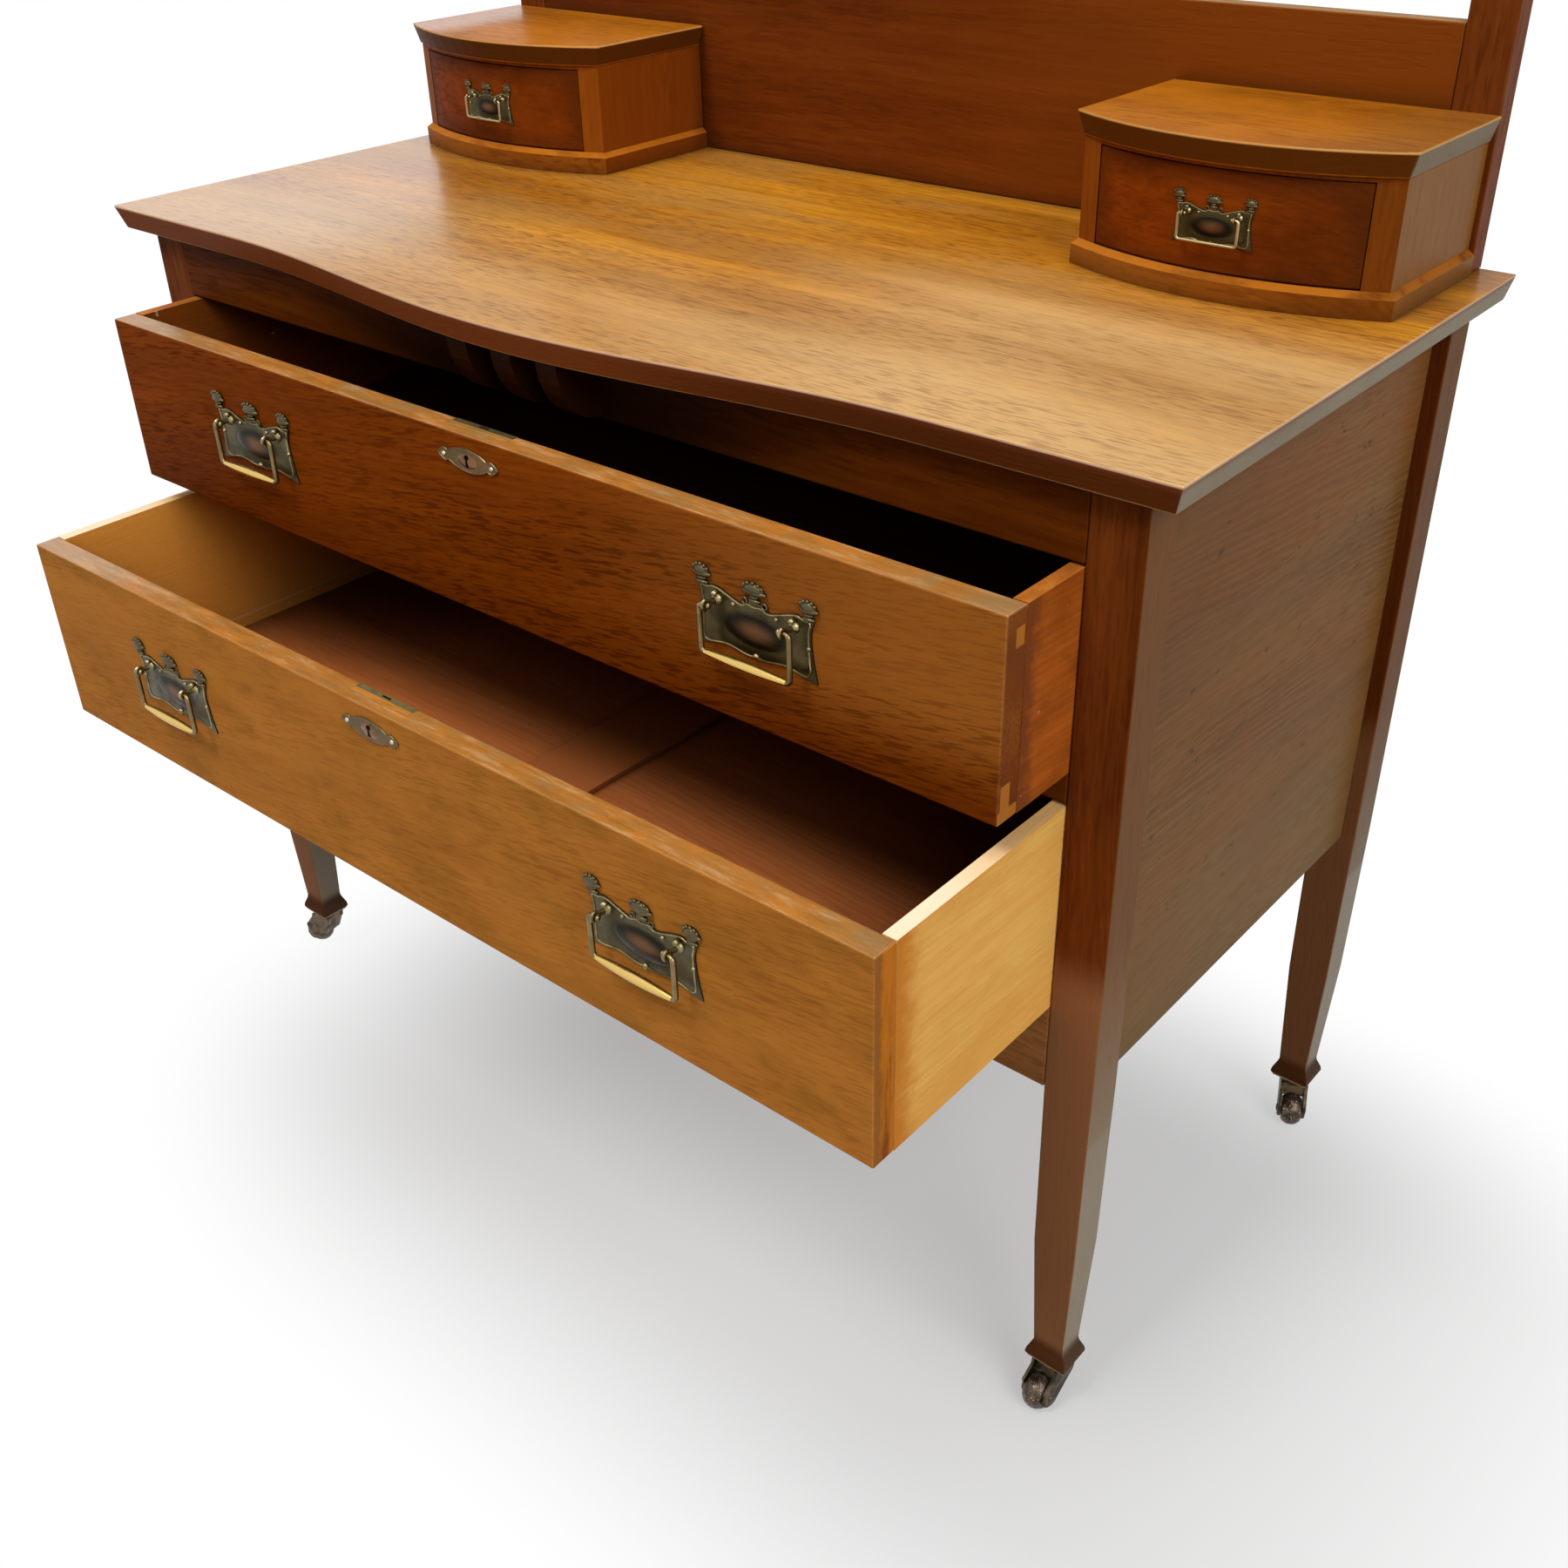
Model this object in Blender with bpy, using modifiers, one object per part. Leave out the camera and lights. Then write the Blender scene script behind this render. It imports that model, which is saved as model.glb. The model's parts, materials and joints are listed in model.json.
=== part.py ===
"""Oak dressing chest: two long drawers, two bow-fronted trinket boxes and a swing mirror.

Metres, +Z up, +X to the right of someone who faces it, -Y to the front. The floor is z = 0 and the
origin lies under the middle of the object as it stands, with its two long drawers open. Inside the
functions y is counted from the front faces of the front legs, which the parent empty places.
"""

import math

import bmesh
import bpy
from mathutils import Matrix

OBJECT_NAME = "dressing_chest"

# Fits
SEAT = 0.0003
EDGE_ROUND = 0.0012
EDGE_SEGMENTS = 2
EDGE_ANGLE = math.radians(40)
CUT_PAST = 0.010
BITE = 0.001

# Top board, with a serpentine front edge
TOP_HEIGHT = 0.827
TOP_THICK = 0.020
TOP_SIDE_OVERHANG = 0.028
TOP_FRONT_OVERHANG = 0.020
TOP_BACK_OVERHANG = 0.0115
TOP_BACK_TAPER = 0.005
TOP_UNDER_BEVEL = 0.006
BOW_DEPTH = 0.035
BOW_WIDTH = 0.720
BOW_STEPS = 36

# Carcase
CASE_WIDTH = 1.014
CASE_DEPTH = 0.466
PANEL_THICK = 0.012
PANEL_RECESS = 0.012
BACK_THICK = 0.008
BACK_INSET = 0.004
DUST_BOARD_THICK = 0.010
FRIEZE_HEIGHT = 0.0525
FRIEZE_THICK = 0.020
RAIL_HEIGHT = 0.023
RAIL_DEPTH = 0.040
BOTTOM_RAIL_HEIGHT = 0.073
BOTTOM_RAIL_THICK = 0.022

# Legs
LEG_WIDTH = 0.040
LEG_DEPTH = 0.034
KNEE_HEIGHT = 0.182
KNEE_WIDTH = 0.037
KNEE_DEPTH = 0.0325
ANKLE_HEIGHT = 0.068
ANKLE_WIDTH = 0.0275
ANKLE_DEPTH = 0.025
FLARE_HEIGHT = 0.052
FLARE_WIDTH = 0.038
FLARE_DEPTH = 0.033
FLARE_STEPS = 4
FOOT_WIDTH = 0.033
FOOT_DEPTH = 0.029

# Castors, one under each foot
CASTOR_HEIGHT = 0.047
CASTOR_TRAIL = 0.016
CASTOR_PLATE_RADIUS = 0.0145
CASTOR_PLATE_THICK = 0.003
SPINDLE_RADIUS = 0.0035
SPINDLE_LENGTH = 0.018
SPINDLE_CLEAR = 0.0004
CHEEK_THICK = 0.0028
CHEEK_NECK = 0.012
CHEEK_EAR = 0.0085
WHEEL_RADIUS = 0.0155
WHEEL_WIDTH = 0.019
WHEEL_TREAD = 0.009
WHEEL_SHOULDER = 0.0032
WHEEL_SIDE_GAP = 0.0006
WHEEL_STEPS = 20
AXLE_RADIUS = 0.0020
AXLE_CLEAR = 0.0004
CASTOR_YAW = {"front_left": 191, "front_right": 262, "back_left": 250, "back_right": 297}

# Carved bracket on the frieze
CORBEL_REACH = 0.040
CORBEL_WIDTH = 0.021
CORBEL_SPACING = 0.048
CORBEL_CLEAR = 0.003
CORBEL_BACKING = 0.003
CORBEL_STEPS = 8

# Long drawers
UPPER_OPEN = 0.080
LOWER_OPEN = 0.201
UPPER_FRONT_HEIGHT = 0.144
LOWER_FRONT_HEIGHT = 0.168
FRONT_TOP_GAP = 0.0020
FRONT_BOTTOM_GAP = 0.0010
DRAWER_SIDE_GAP = 0.0007
DRAWER_BACK_GAP = 0.014
FRONT_THICK = 0.021
SIDE_THICK = 0.011
DRAWER_BACK_THICK = 0.010
DRAWER_BACK_DROP = 0.012
BOTTOM_THICK = 0.007
BOTTOM_RISE = 0.012
GROOVE_DEPTH = 0.005
MUNTIN_WIDTH = 0.072
MUNTIN_THICK = 0.004
LOCK_WIDTH = 0.066
LOCK_HEIGHT = 0.045
LOCK_DEPTH = 0.011
KEY_DROP = 0.019
KEY_WIDTH = 0.0036
KEY_HEIGHT = 0.011

# Escutcheon
ESCUTCHEON_WIDTH = 0.066
ESCUTCHEON_HEIGHT = 0.019
ESCUTCHEON_EAR = 0.0055
ESCUTCHEON_THICK = 0.0012

# Handles, at the size of those on the long drawers
HANDLE_INSET = 0.1913
HANDLE_RISE = 0.016
PLATE_THICK = 0.0015
POST_SPREAD = 0.033
POST_RADIUS = 0.0034
POST_LENGTH = 0.0170
PIVOT_STANDOFF = 0.0125
PIN_RADIUS = 0.0013
PIN_CLEAR = 0.0005
ARM_SPREAD = 0.0385
ARM_RADIUS = 0.0016
BAIL_DROP = 0.035
BAIL_CORNER = 0.004
GRIP_RADIUS = 0.0040
GRIP_STEPS = 6
ROUND_SEGMENTS = 12
BEND_STEPS = 6

# Trinket boxes
BOX_WIDTH = 0.2565
BOX_INSET = 0.0015
BOX_DEPTH = 0.139
BOX_HEIGHT = 0.110
BOX_BOW = 0.034
BOX_TOP_THICK = 0.018
BOX_TOP_BEVEL = 0.005
BOX_ARC_STEPS = 14
PLINTH_HEIGHT = 0.018
PLINTH_LIP = 0.004
PLINTH_INSET = 0.001
PLINTH_BOW = 0.029
BOX_STEP = 0.005
STILE_WIDTH = 0.018
BOX_RAIL = 0.003
BOX_BACK_THICK = 0.010
TRINKET_OPEN_GAP = 0.0008
TRINKET_FRONT_THICK = 0.012
TRAY_WALL = 0.007
TRAY_FLOOR = 0.005
TRAY_DROP = 0.012
TRAY_BACK_GAP = 0.003
TRINKET_HANDLE_SCALE = 0.6
TRINKET_HANDLE_RISE = 0.0045
TRINKET_BAIL_DROP = 0.030

# Splash board, uprights and mirror
SPLASH_HEIGHT = 0.167
SPLASH_THICK = 0.016
SPLASH_SETBACK = 0.001
UPRIGHT_WIDTH = 0.035
UPRIGHT_DEPTH = 0.0225
UPRIGHT_INSET = 0.0035
UPRIGHT_ABOVE_PIVOT = 0.090
UPRIGHT_CAP = 0.010
UPRIGHT_CAP_INSET = 0.006
MIRROR_GAP = 0.048
MIRROR_HEIGHT = 0.600
MIRROR_SIDE_GAP = 0.012
MIRROR_STILE = 0.045
MIRROR_THICK = 0.022
MIRROR_LIP = 0.009
REBATE = 0.008
GLASS_THICK = 0.005
MIRROR_BACK_THICK = 0.006
PIVOT_RADIUS = 0.004
PIVOT_CLEAR = 0.0004
PIVOT_BITE = 0.014
KNOB_RADIUS = 0.012
KNOB_THICK = 0.008

# Places worked out from the sizes above
HALF_CASE = CASE_WIDTH / 2
HALF_INSIDE = HALF_CASE - LEG_WIDTH
TOP_UNDER = TOP_HEIGHT - TOP_THICK
TOP_BACK = CASE_DEPTH + TOP_BACK_OVERHANG
FRIEZE_TOP = TOP_UNDER - SEAT
FRIEZE_BOTTOM = FRIEZE_TOP - FRIEZE_HEIGHT
UPPER_TOP = FRIEZE_BOTTOM - FRONT_TOP_GAP
UPPER_BOTTOM = UPPER_TOP - UPPER_FRONT_HEIGHT
RAIL_TOP = UPPER_BOTTOM - FRONT_BOTTOM_GAP
RAIL_BOTTOM = RAIL_TOP - RAIL_HEIGHT
LOWER_TOP = RAIL_BOTTOM - FRONT_TOP_GAP
LOWER_BOTTOM = LOWER_TOP - LOWER_FRONT_HEIGHT
BOTTOM_RAIL_TOP = LOWER_BOTTOM - FRONT_BOTTOM_GAP
CASE_BOTTOM = BOTTOM_RAIL_TOP - BOTTOM_RAIL_HEIGHT
BACK_FACE = CASE_DEPTH - BACK_INSET - BACK_THICK
DRAWER_LENGTH = BACK_FACE - DRAWER_BACK_GAP
HALF_DRAWER = HALF_INSIDE - DRAWER_SIDE_GAP
UPRIGHT_FRONT = TOP_BACK - UPRIGHT_DEPTH
UPRIGHT_OUTER = HALF_CASE - UPRIGHT_INSET
UPRIGHT_INNER = UPRIGHT_OUTER - UPRIGHT_WIDTH
PIVOT_HEIGHT = TOP_HEIGHT + SPLASH_HEIGHT + MIRROR_GAP + MIRROR_HEIGHT / 2
PIVOT_DEPTH = TOP_BACK - UPRIGHT_DEPTH / 2
HALF_MIRROR = UPRIGHT_INNER - MIRROR_SIDE_GAP
BOX_CENTRE = HALF_CASE - BOX_INSET - BOX_WIDTH / 2
BOX_BACK = UPRIGHT_FRONT - SEAT
BOX_CORNER = BOX_BACK - BOX_DEPTH
BOX_BASE = TOP_HEIGHT + SEAT
HALF_PLINTH = BOX_WIDTH / 2 - PLINTH_INSET
HALF_BOX = HALF_PLINTH - BOX_STEP
HALF_BOX_MOUTH = HALF_BOX - STILE_WIDTH
BOX_FLOOR = BOX_BASE + PLINTH_HEIGHT
BOX_TOP_UNDER = BOX_BASE + BOX_HEIGHT - BOX_TOP_THICK
BOX_MOUTH_TOP = BOX_TOP_UNDER - BOX_RAIL
PLINTH_CORNER = BOX_CORNER + PLINTH_INSET
CASE_CORNER = PLINTH_CORNER + BOX_STEP
FRONT_PLANE = (LOWER_OPEN + SEAT + POST_LENGTH - TOP_BACK) / 2
LEG_PLACES = {
    "front_left": (-(HALF_CASE - LEG_WIDTH / 2), LEG_DEPTH / 2),
    "front_right": (HALF_CASE - LEG_WIDTH / 2, LEG_DEPTH / 2),
    "back_left": (-(HALF_CASE - LEG_WIDTH / 2), CASE_DEPTH - LEG_DEPTH / 2),
    "back_right": (HALF_CASE - LEG_WIDTH / 2, CASE_DEPTH - LEG_DEPTH / 2),
}

# Right half of a handle plate's outline, from the bottom centre up to the top centre, measured from
# the middle of the bail's axis. True marks a sharp corner.
PLATE_HALF = (
    (0.0000, -0.0335, False),
    (0.0080, -0.0340, False),
    (0.0250, -0.0315, False),
    (0.0430, -0.0345, False),
    (0.0520, -0.0360, True),
    (0.0485, -0.0190, False),
    (0.0470, -0.0020, False),
    (0.0510, 0.0075, True),
    (0.0465, 0.0110, True),
    (0.0535, 0.0170, False),
    (0.0510, 0.0225, False),
    (0.0450, 0.0240, False),
    (0.0390, 0.0225, False),
    (0.0365, 0.0170, False),
    (0.0425, 0.0110, True),
    (0.0400, 0.0080, False),
    (0.0330, 0.0090, False),
    (0.0130, 0.0032, False),
    (0.0050, 0.0055, True),
    (0.0040, 0.0110, True),
    (0.0110, 0.0140, False),
    (0.0095, 0.0185, False),
    (0.0000, 0.0205, False),
)

# Colour, roughness and metallic value of each finish
FINISHES = {
    "oak": ((0.33, 0.13, 0.035), 0.35, 0.0),
    "dark_oak": ((0.20, 0.065, 0.018), 0.40, 0.0),
    "pale_drawer_wood": ((0.52, 0.29, 0.09), 0.55, 0.0),
    "red_drawer_wood": ((0.30, 0.10, 0.035), 0.50, 0.0),
    "antique_brass": ((0.16, 0.11, 0.06), 0.38, 1.0),
    "bright_brass": ((0.62, 0.42, 0.14), 0.28, 1.0),
    "castor_brass": ((0.10, 0.07, 0.045), 0.45, 1.0),
    "castor_wheel": ((0.085, 0.045, 0.028), 0.40, 0.0),
    "mirror_glass": ((0.80, 0.82, 0.82), 0.03, 1.0),
}


def clear_scene():
    for obj in list(bpy.data.objects):
        bpy.data.objects.remove(obj, do_unlink=True)


def make_collection(name):
    collection = bpy.data.collections.new(name)
    bpy.context.scene.collection.children.link(collection)
    return collection


def make_material(node, finish):
    colour, roughness, metallic = FINISHES[finish]
    material = bpy.data.materials.new(node)
    material.use_nodes = True
    shader = material.node_tree.nodes["Principled BSDF"]
    shader.inputs["Base Color"].default_value = (*colour, 1.0)
    shader.inputs["Roughness"].default_value = roughness
    shader.inputs["Metallic"].default_value = metallic
    return material


class Workshop:
    """The collections that hold the parts and the cutters, and how objects are put in them."""

    def __init__(self):
        self.parts = make_collection(OBJECT_NAME)
        self.cutters = make_collection("cutters")

    def empty(self, name, parent=None, location=(0, 0, 0), yaw=0.0):
        obj = bpy.data.objects.new(name, None)
        obj.parent = parent
        obj.location = location
        obj.rotation_euler = (0, 0, yaw)
        self.parts.objects.link(obj)
        return obj

    def part(self, name, data, finish, parent, location=(0, 0, 0), rotation=(0, 0, 0)):
        obj = bpy.data.objects.new(name, data)
        obj.parent = parent
        obj.location = location
        obj.rotation_euler = rotation
        data.materials.append(make_material(name, finish))
        self.parts.objects.link(obj)
        return obj

    def cutter(self, name, mesh, parent, location=(0, 0, 0), rotation=(0, 0, 0)):
        obj = bpy.data.objects.new(name, mesh)
        obj.parent = parent
        obj.location = location
        obj.rotation_euler = rotation
        obj.hide_render = True
        obj.display_type = "WIRE"
        self.cutters.objects.link(obj)
        return obj


def mesh_of(bm, name):
    bmesh.ops.recalc_face_normals(bm, faces=bm.faces)
    mesh = bpy.data.meshes.new(name)
    bm.to_mesh(mesh)
    bm.free()
    return mesh


def slab(name, low, high):
    """A box between two corners."""
    bm = bmesh.new()
    bmesh.ops.create_cube(bm, size=1.0)
    for vertex in bm.verts:
        for axis in range(3):
            vertex.co[axis] = low[axis] if vertex.co[axis] < 0 else high[axis]
    return mesh_of(bm, name)


def cylinders(name, radius, low, high, places, turn=Matrix(), segments=ROUND_SEGMENTS):
    """Cylinders from low to high along z, turned as one, with a centre at each place."""
    bm = bmesh.new()
    for place in places:
        matrix = Matrix.Translation(place) @ turn @ Matrix.Translation((0, 0, (low + high) / 2))
        bmesh.ops.create_cone(bm, cap_ends=True, segments=segments, radius1=radius, radius2=radius,
                              depth=high - low, matrix=matrix)
    return mesh_of(bm, name)


def loft(name, rings):
    """A closed solid through rings of equally many points, with a flat cap at each end."""
    bm = bmesh.new()
    loops = [[bm.verts.new(point) for point in ring] for ring in rings]
    for lower, upper in zip(loops, loops[1:]):
        for i, vertex in enumerate(lower):
            j = (i + 1) % len(lower)
            bm.faces.new((vertex, lower[j], upper[j], upper[i]))
    bm.faces.new(loops[0])
    bm.faces.new(loops[-1])
    return mesh_of(bm, name)


def at_height(outline, z):
    return [(x, y, z) for x, y in outline]


def rectangle(centre, width, depth):
    x, y = centre
    return [(x - width / 2, y - depth / 2), (x + width / 2, y - depth / 2),
            (x + width / 2, y + depth / 2), (x - width / 2, y + depth / 2)]


def round_edges(obj, width=EDGE_ROUND):
    bevel = obj.modifiers.new("rounded_edges", "BEVEL")
    bevel.width = width
    bevel.segments = EDGE_SEGMENTS
    bevel.limit_method = "ANGLE"
    bevel.angle_limit = EDGE_ANGLE
    return obj


def boolean(obj, other, operation="DIFFERENCE"):
    modifier = obj.modifiers.new(other.name, "BOOLEAN")
    modifier.operation = operation
    modifier.object = other
    return obj


def turned(obj, steps):
    screw = obj.modifiers.new("turned", "SCREW")
    screw.steps = steps
    screw.render_steps = steps
    screw.use_merge_vertices = True
    screw.merge_threshold = 0.0001
    return obj


def profile(name, points, closed=False):
    """A line of points in the XZ plane, for a Screw modifier."""
    bm = bmesh.new()
    vertices = [bm.verts.new((x, 0, z)) for x, z in points]
    for first, second in zip(vertices, vertices[1:]):
        bm.edges.new((first, second))
    if closed:
        bm.edges.new((vertices[-1], vertices[0]))
    mesh = bpy.data.meshes.new(name)
    bm.to_mesh(mesh)
    bm.free()
    return mesh


def mesh_from_curve(name, curve):
    """The closed mesh of a curve, with its caps welded on."""
    holder = bpy.data.objects.new(name, curve)
    bpy.context.scene.collection.objects.link(holder)
    evaluated = holder.evaluated_get(bpy.context.evaluated_depsgraph_get())
    mesh = bpy.data.meshes.new_from_object(evaluated)
    bpy.data.objects.remove(holder, do_unlink=True)
    bm = bmesh.new()
    bm.from_mesh(mesh)
    bmesh.ops.remove_doubles(bm, verts=bm.verts, dist=0.00001)
    bmesh.ops.recalc_face_normals(bm, faces=bm.faces)
    bm.to_mesh(mesh)
    bm.free()
    mesh.materials.clear()
    mesh.name = name
    return mesh


def flat_outline(name, splines, thickness, resolution):
    """A plate whose outline is made of Bezier points (x, y, sharp), standing on z = 0."""
    curve = bpy.data.curves.new(name, "CURVE")
    curve.dimensions = "2D"
    curve.fill_mode = "BOTH"
    curve.extrude = thickness / 2
    curve.resolution_u = resolution
    for points in splines:
        spline = curve.splines.new("BEZIER")
        spline.use_cyclic_u = True
        spline.bezier_points.add(len(points) - 1)
        for bezier, (x, y, sharp) in zip(spline.bezier_points, points):
            bezier.co = (x, y, 0)
            kind = "VECTOR" if sharp else "AUTO"
            bezier.handle_left_type = kind
            bezier.handle_right_type = kind
    mesh = mesh_from_curve(name, curve)
    mesh.transform(Matrix.Translation((0, 0, thickness / 2)))
    return mesh


def mirrored(half):
    """A whole outline from its right half, whose first and last points lie on the middle line."""
    return list(half) + [(-x, y, sharp) for x, y, sharp in reversed(half[1:-1])]


def facing_front():
    """Turns a plate that lies flat so that its face looks to -Y and its top to +Z."""
    return (math.radians(90), 0, 0)


def top_outline(inset):
    """The top board's outline, with the bow as one wave of a cosine between straight ends."""
    side = HALF_CASE + TOP_SIDE_OVERHANG - inset
    front = -TOP_FRONT_OVERHANG + inset
    outline = [(-side, front)]
    for i in range(BOW_STEPS + 1):
        turn = i / BOW_STEPS
        swell = BOW_DEPTH * (1 - math.cos(2 * math.pi * turn)) / 2
        outline.append(((turn - 0.5) * BOW_WIDTH, front - swell))
    back = side - TOP_BACK_TAPER
    return outline + [(side, front), (back, TOP_BACK), (-back, TOP_BACK)]


def make_top(shop, root):
    rings = [at_height(top_outline(TOP_UNDER_BEVEL), TOP_UNDER), at_height(top_outline(0), TOP_HEIGHT)]
    round_edges(shop.part("top_board", loft("top_board", rings), "oak", root))


def leg_rings(place):
    """Sections of a leg from the foot up: block, flare, ankle, knee and square post."""
    sections = [(CASTOR_HEIGHT, FOOT_WIDTH, FOOT_DEPTH)]
    for i in range(FLARE_STEPS + 1):
        share = (1 + math.cos(math.pi * i / FLARE_STEPS)) / 2
        sections.append((FLARE_HEIGHT + (ANKLE_HEIGHT - FLARE_HEIGHT) * i / FLARE_STEPS,
                         ANKLE_WIDTH + (FLARE_WIDTH - ANKLE_WIDTH) * share,
                         ANKLE_DEPTH + (FLARE_DEPTH - ANKLE_DEPTH) * share))
    sections.append((KNEE_HEIGHT, KNEE_WIDTH, KNEE_DEPTH))
    sections.append((CASE_BOTTOM, LEG_WIDTH, LEG_DEPTH))
    sections.append((FRIEZE_TOP, LEG_WIDTH, LEG_DEPTH))
    return [at_height(rectangle(place, width, depth), z) for z, width, depth in sections]


def make_legs(shop, root):
    for corner, place in LEG_PLACES.items():
        name = corner + "_leg"
        leg = round_edges(shop.part(name, loft(name, leg_rings(place)), "oak", root))
        bore = cylinders(name + "_bore", SPINDLE_RADIUS + SPINDLE_CLEAR, CASTOR_HEIGHT - CUT_PAST,
                         CASTOR_HEIGHT + SPINDLE_LENGTH + SEAT, [(*place, 0)])
        boolean(leg, shop.cutter(name + "_bore", bore, root))


def make_carcase(shop, root):
    """Side panels, rails, dust boards and back, all held between the legs."""
    inside = HALF_INSIDE - SEAT
    outer = HALF_CASE - PANEL_RECESS
    for side, sign in (("left", -1), ("right", 1)):
        name = side + "_side_panel"
        edges = sorted((sign * (outer - PANEL_THICK), sign * outer))
        mesh = slab(name, (edges[0], LEG_DEPTH + SEAT, CASE_BOTTOM),
                    (edges[1], CASE_DEPTH - LEG_DEPTH - SEAT, FRIEZE_TOP))
        round_edges(shop.part(name, mesh, "oak", root))
    boards = {
        "frieze_rail": (0, FRIEZE_THICK, FRIEZE_BOTTOM, FRIEZE_TOP),
        "drawer_rail": (0, RAIL_DEPTH, RAIL_BOTTOM, RAIL_TOP),
        "bottom_rail": (0, BOTTOM_RAIL_THICK, CASE_BOTTOM, BOTTOM_RAIL_TOP),
        "upper_dust_board": (RAIL_DEPTH + SEAT, BACK_FACE - SEAT, RAIL_TOP - DUST_BOARD_THICK, RAIL_TOP),
        "lower_dust_board": (BOTTOM_RAIL_THICK + SEAT, BACK_FACE - SEAT,
                             BOTTOM_RAIL_TOP - DUST_BOARD_THICK, BOTTOM_RAIL_TOP),
        "back_panel": (BACK_FACE, BACK_FACE + BACK_THICK, CASE_BOTTOM, FRIEZE_TOP),
    }
    for name, (front, back, low, high) in boards.items():
        finish = "oak" if name.endswith("rail") else "red_drawer_wood"
        mesh = slab(name, (-inside, front, low), (inside, back, high))
        round_edges(shop.part(name, mesh, finish, root))


def make_bracket(shop, root):
    """Three swept straps on one backing, between the frieze and the bow of the top."""
    height = FRIEZE_HEIGHT - CORBEL_CLEAR
    low = FRIEZE_TOP - height
    half = CORBEL_SPACING + CORBEL_WIDTH / 2
    mesh = slab("frieze_bracket", (-half, -SEAT - CORBEL_BACKING, low), (half, -SEAT, FRIEZE_TOP))
    bracket = shop.part("frieze_bracket", mesh, "oak", root)
    sweep = [(-SEAT - BITE, low), (-SEAT - BITE, FRIEZE_TOP)]
    for i in range(CORBEL_STEPS + 1):
        turn = math.pi / 2 * i / CORBEL_STEPS
        reach = CORBEL_BACKING + (CORBEL_REACH - CORBEL_BACKING) * math.cos(turn)
        sweep.append((-SEAT - reach, FRIEZE_TOP - height * math.sin(turn)))
    for i in (-1, 0, 1):
        left = i * CORBEL_SPACING - CORBEL_WIDTH / 2
        name = f"frieze_strap_{i + 2}"
        mesh = loft(name, [[(x, y, z) for y, z in sweep] for x in (left, left + CORBEL_WIDTH)])
        boolean(bracket, shop.cutter(name, mesh, root), "UNION")


def bail_curve(name, scale, drop):
    """A squared bail: inward pins, thin arms and a grip that swells to the middle."""
    right = [(POST_SPREAD, 0, PIN_RADIUS), (ARM_SPREAD, 0, ARM_RADIUS)]
    right.append((ARM_SPREAD, -drop + BAIL_CORNER, ARM_RADIUS))
    grip = ARM_SPREAD - BAIL_CORNER
    for i in range(GRIP_STEPS):
        along = i / GRIP_STEPS
        radius = ARM_RADIUS + (GRIP_RADIUS - ARM_RADIUS) * math.sin(math.pi / 2 * along)
        right.append((grip * (1 - along), -drop, radius))
    left = [(-x, y, radius) for x, y, radius in reversed(right)]
    points = right + [(0, -drop, GRIP_RADIUS)] + left
    curve = bpy.data.curves.new(name, "CURVE")
    curve.dimensions = "3D"
    curve.bevel_depth = ARM_RADIUS * scale
    curve.bevel_resolution = 2
    curve.use_fill_caps = True
    spline = curve.splines.new("POLY")
    spline.points.add(len(points) - 1)
    for point, (x, y, radius) in zip(spline.points, points):
        point.co = (x * scale, y * scale, 0, 1)
        point.radius = radius / ARM_RADIUS
    return curve


def sagitta(radius, x):
    return radius - math.sqrt(radius ** 2 - x ** 2)


def bend(mesh, radius):
    """Bends a plate that lies on z = 0 round an axis along y, so that its ends drop."""
    bm = bmesh.new()
    bm.from_mesh(mesh)
    half = max(vertex.co.x for vertex in bm.verts)
    for i in range(1, BEND_STEPS):
        geometry = bm.verts[:] + bm.edges[:] + bm.faces[:]
        bmesh.ops.bisect_plane(bm, geom=geometry, plane_co=(half * (2 * i / BEND_STEPS - 1), 0, 0),
                               plane_no=(1, 0, 0))
    for vertex in bm.verts:
        vertex.co.z -= sagitta(radius, vertex.co.x)
    bm.to_mesh(mesh)
    bm.free()


def make_handle(shop, parent, name, axis_place, drop=BAIL_DROP, scale=1.0, bow_radius=None):
    """A plate with two posts on a drawer front, and a bail that hangs from them.

    axis_place is the middle of the bail's axis, brought back to the drawer front's face."""
    x, face, z = axis_place
    outline = [(u * scale, v * scale, sharp) for u, v, sharp in mirrored(PLATE_HALF)]
    smoothness = 1 if bow_radius else 2
    mesh = flat_outline(name + "_plate", [outline], PLATE_THICK * scale, smoothness)
    post_low = 0.0
    if bow_radius:
        bend(mesh, bow_radius)
        post_low = -sagitta(bow_radius, POST_SPREAD * scale)
    place = (x, face - SEAT, z)
    plate = shop.part(name + "_plate", mesh, "antique_brass", parent, place, facing_front())
    spots = [(sign * POST_SPREAD * scale, 0, 0) for sign in (-1, 1)]
    posts = cylinders(name + "_posts", POST_RADIUS * scale, post_low, POST_LENGTH * scale, spots)
    boolean(plate, shop.cutter(name + "_posts", posts, parent, place, facing_front()), "UNION")
    axis = PIVOT_STANDOFF * scale
    half_bore = POST_RADIUS * scale
    sideways = Matrix.Rotation(math.radians(90), 4, "Y")
    middles = [(sign * (POST_SPREAD * scale + half_bore - BITE * scale), 0, axis) for sign in (-1, 1)]
    bores = cylinders(name + "_bores", (PIN_RADIUS + PIN_CLEAR) * scale, -half_bore, half_bore, middles,
                      sideways)
    boolean(plate, shop.cutter(name + "_bores", bores, parent, place, facing_front()))
    shop.part(name + "_bail", bail_curve(name + "_bail", scale, drop), "bright_brass", parent,
              (x, face - SEAT - axis, z), facing_front())


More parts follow.
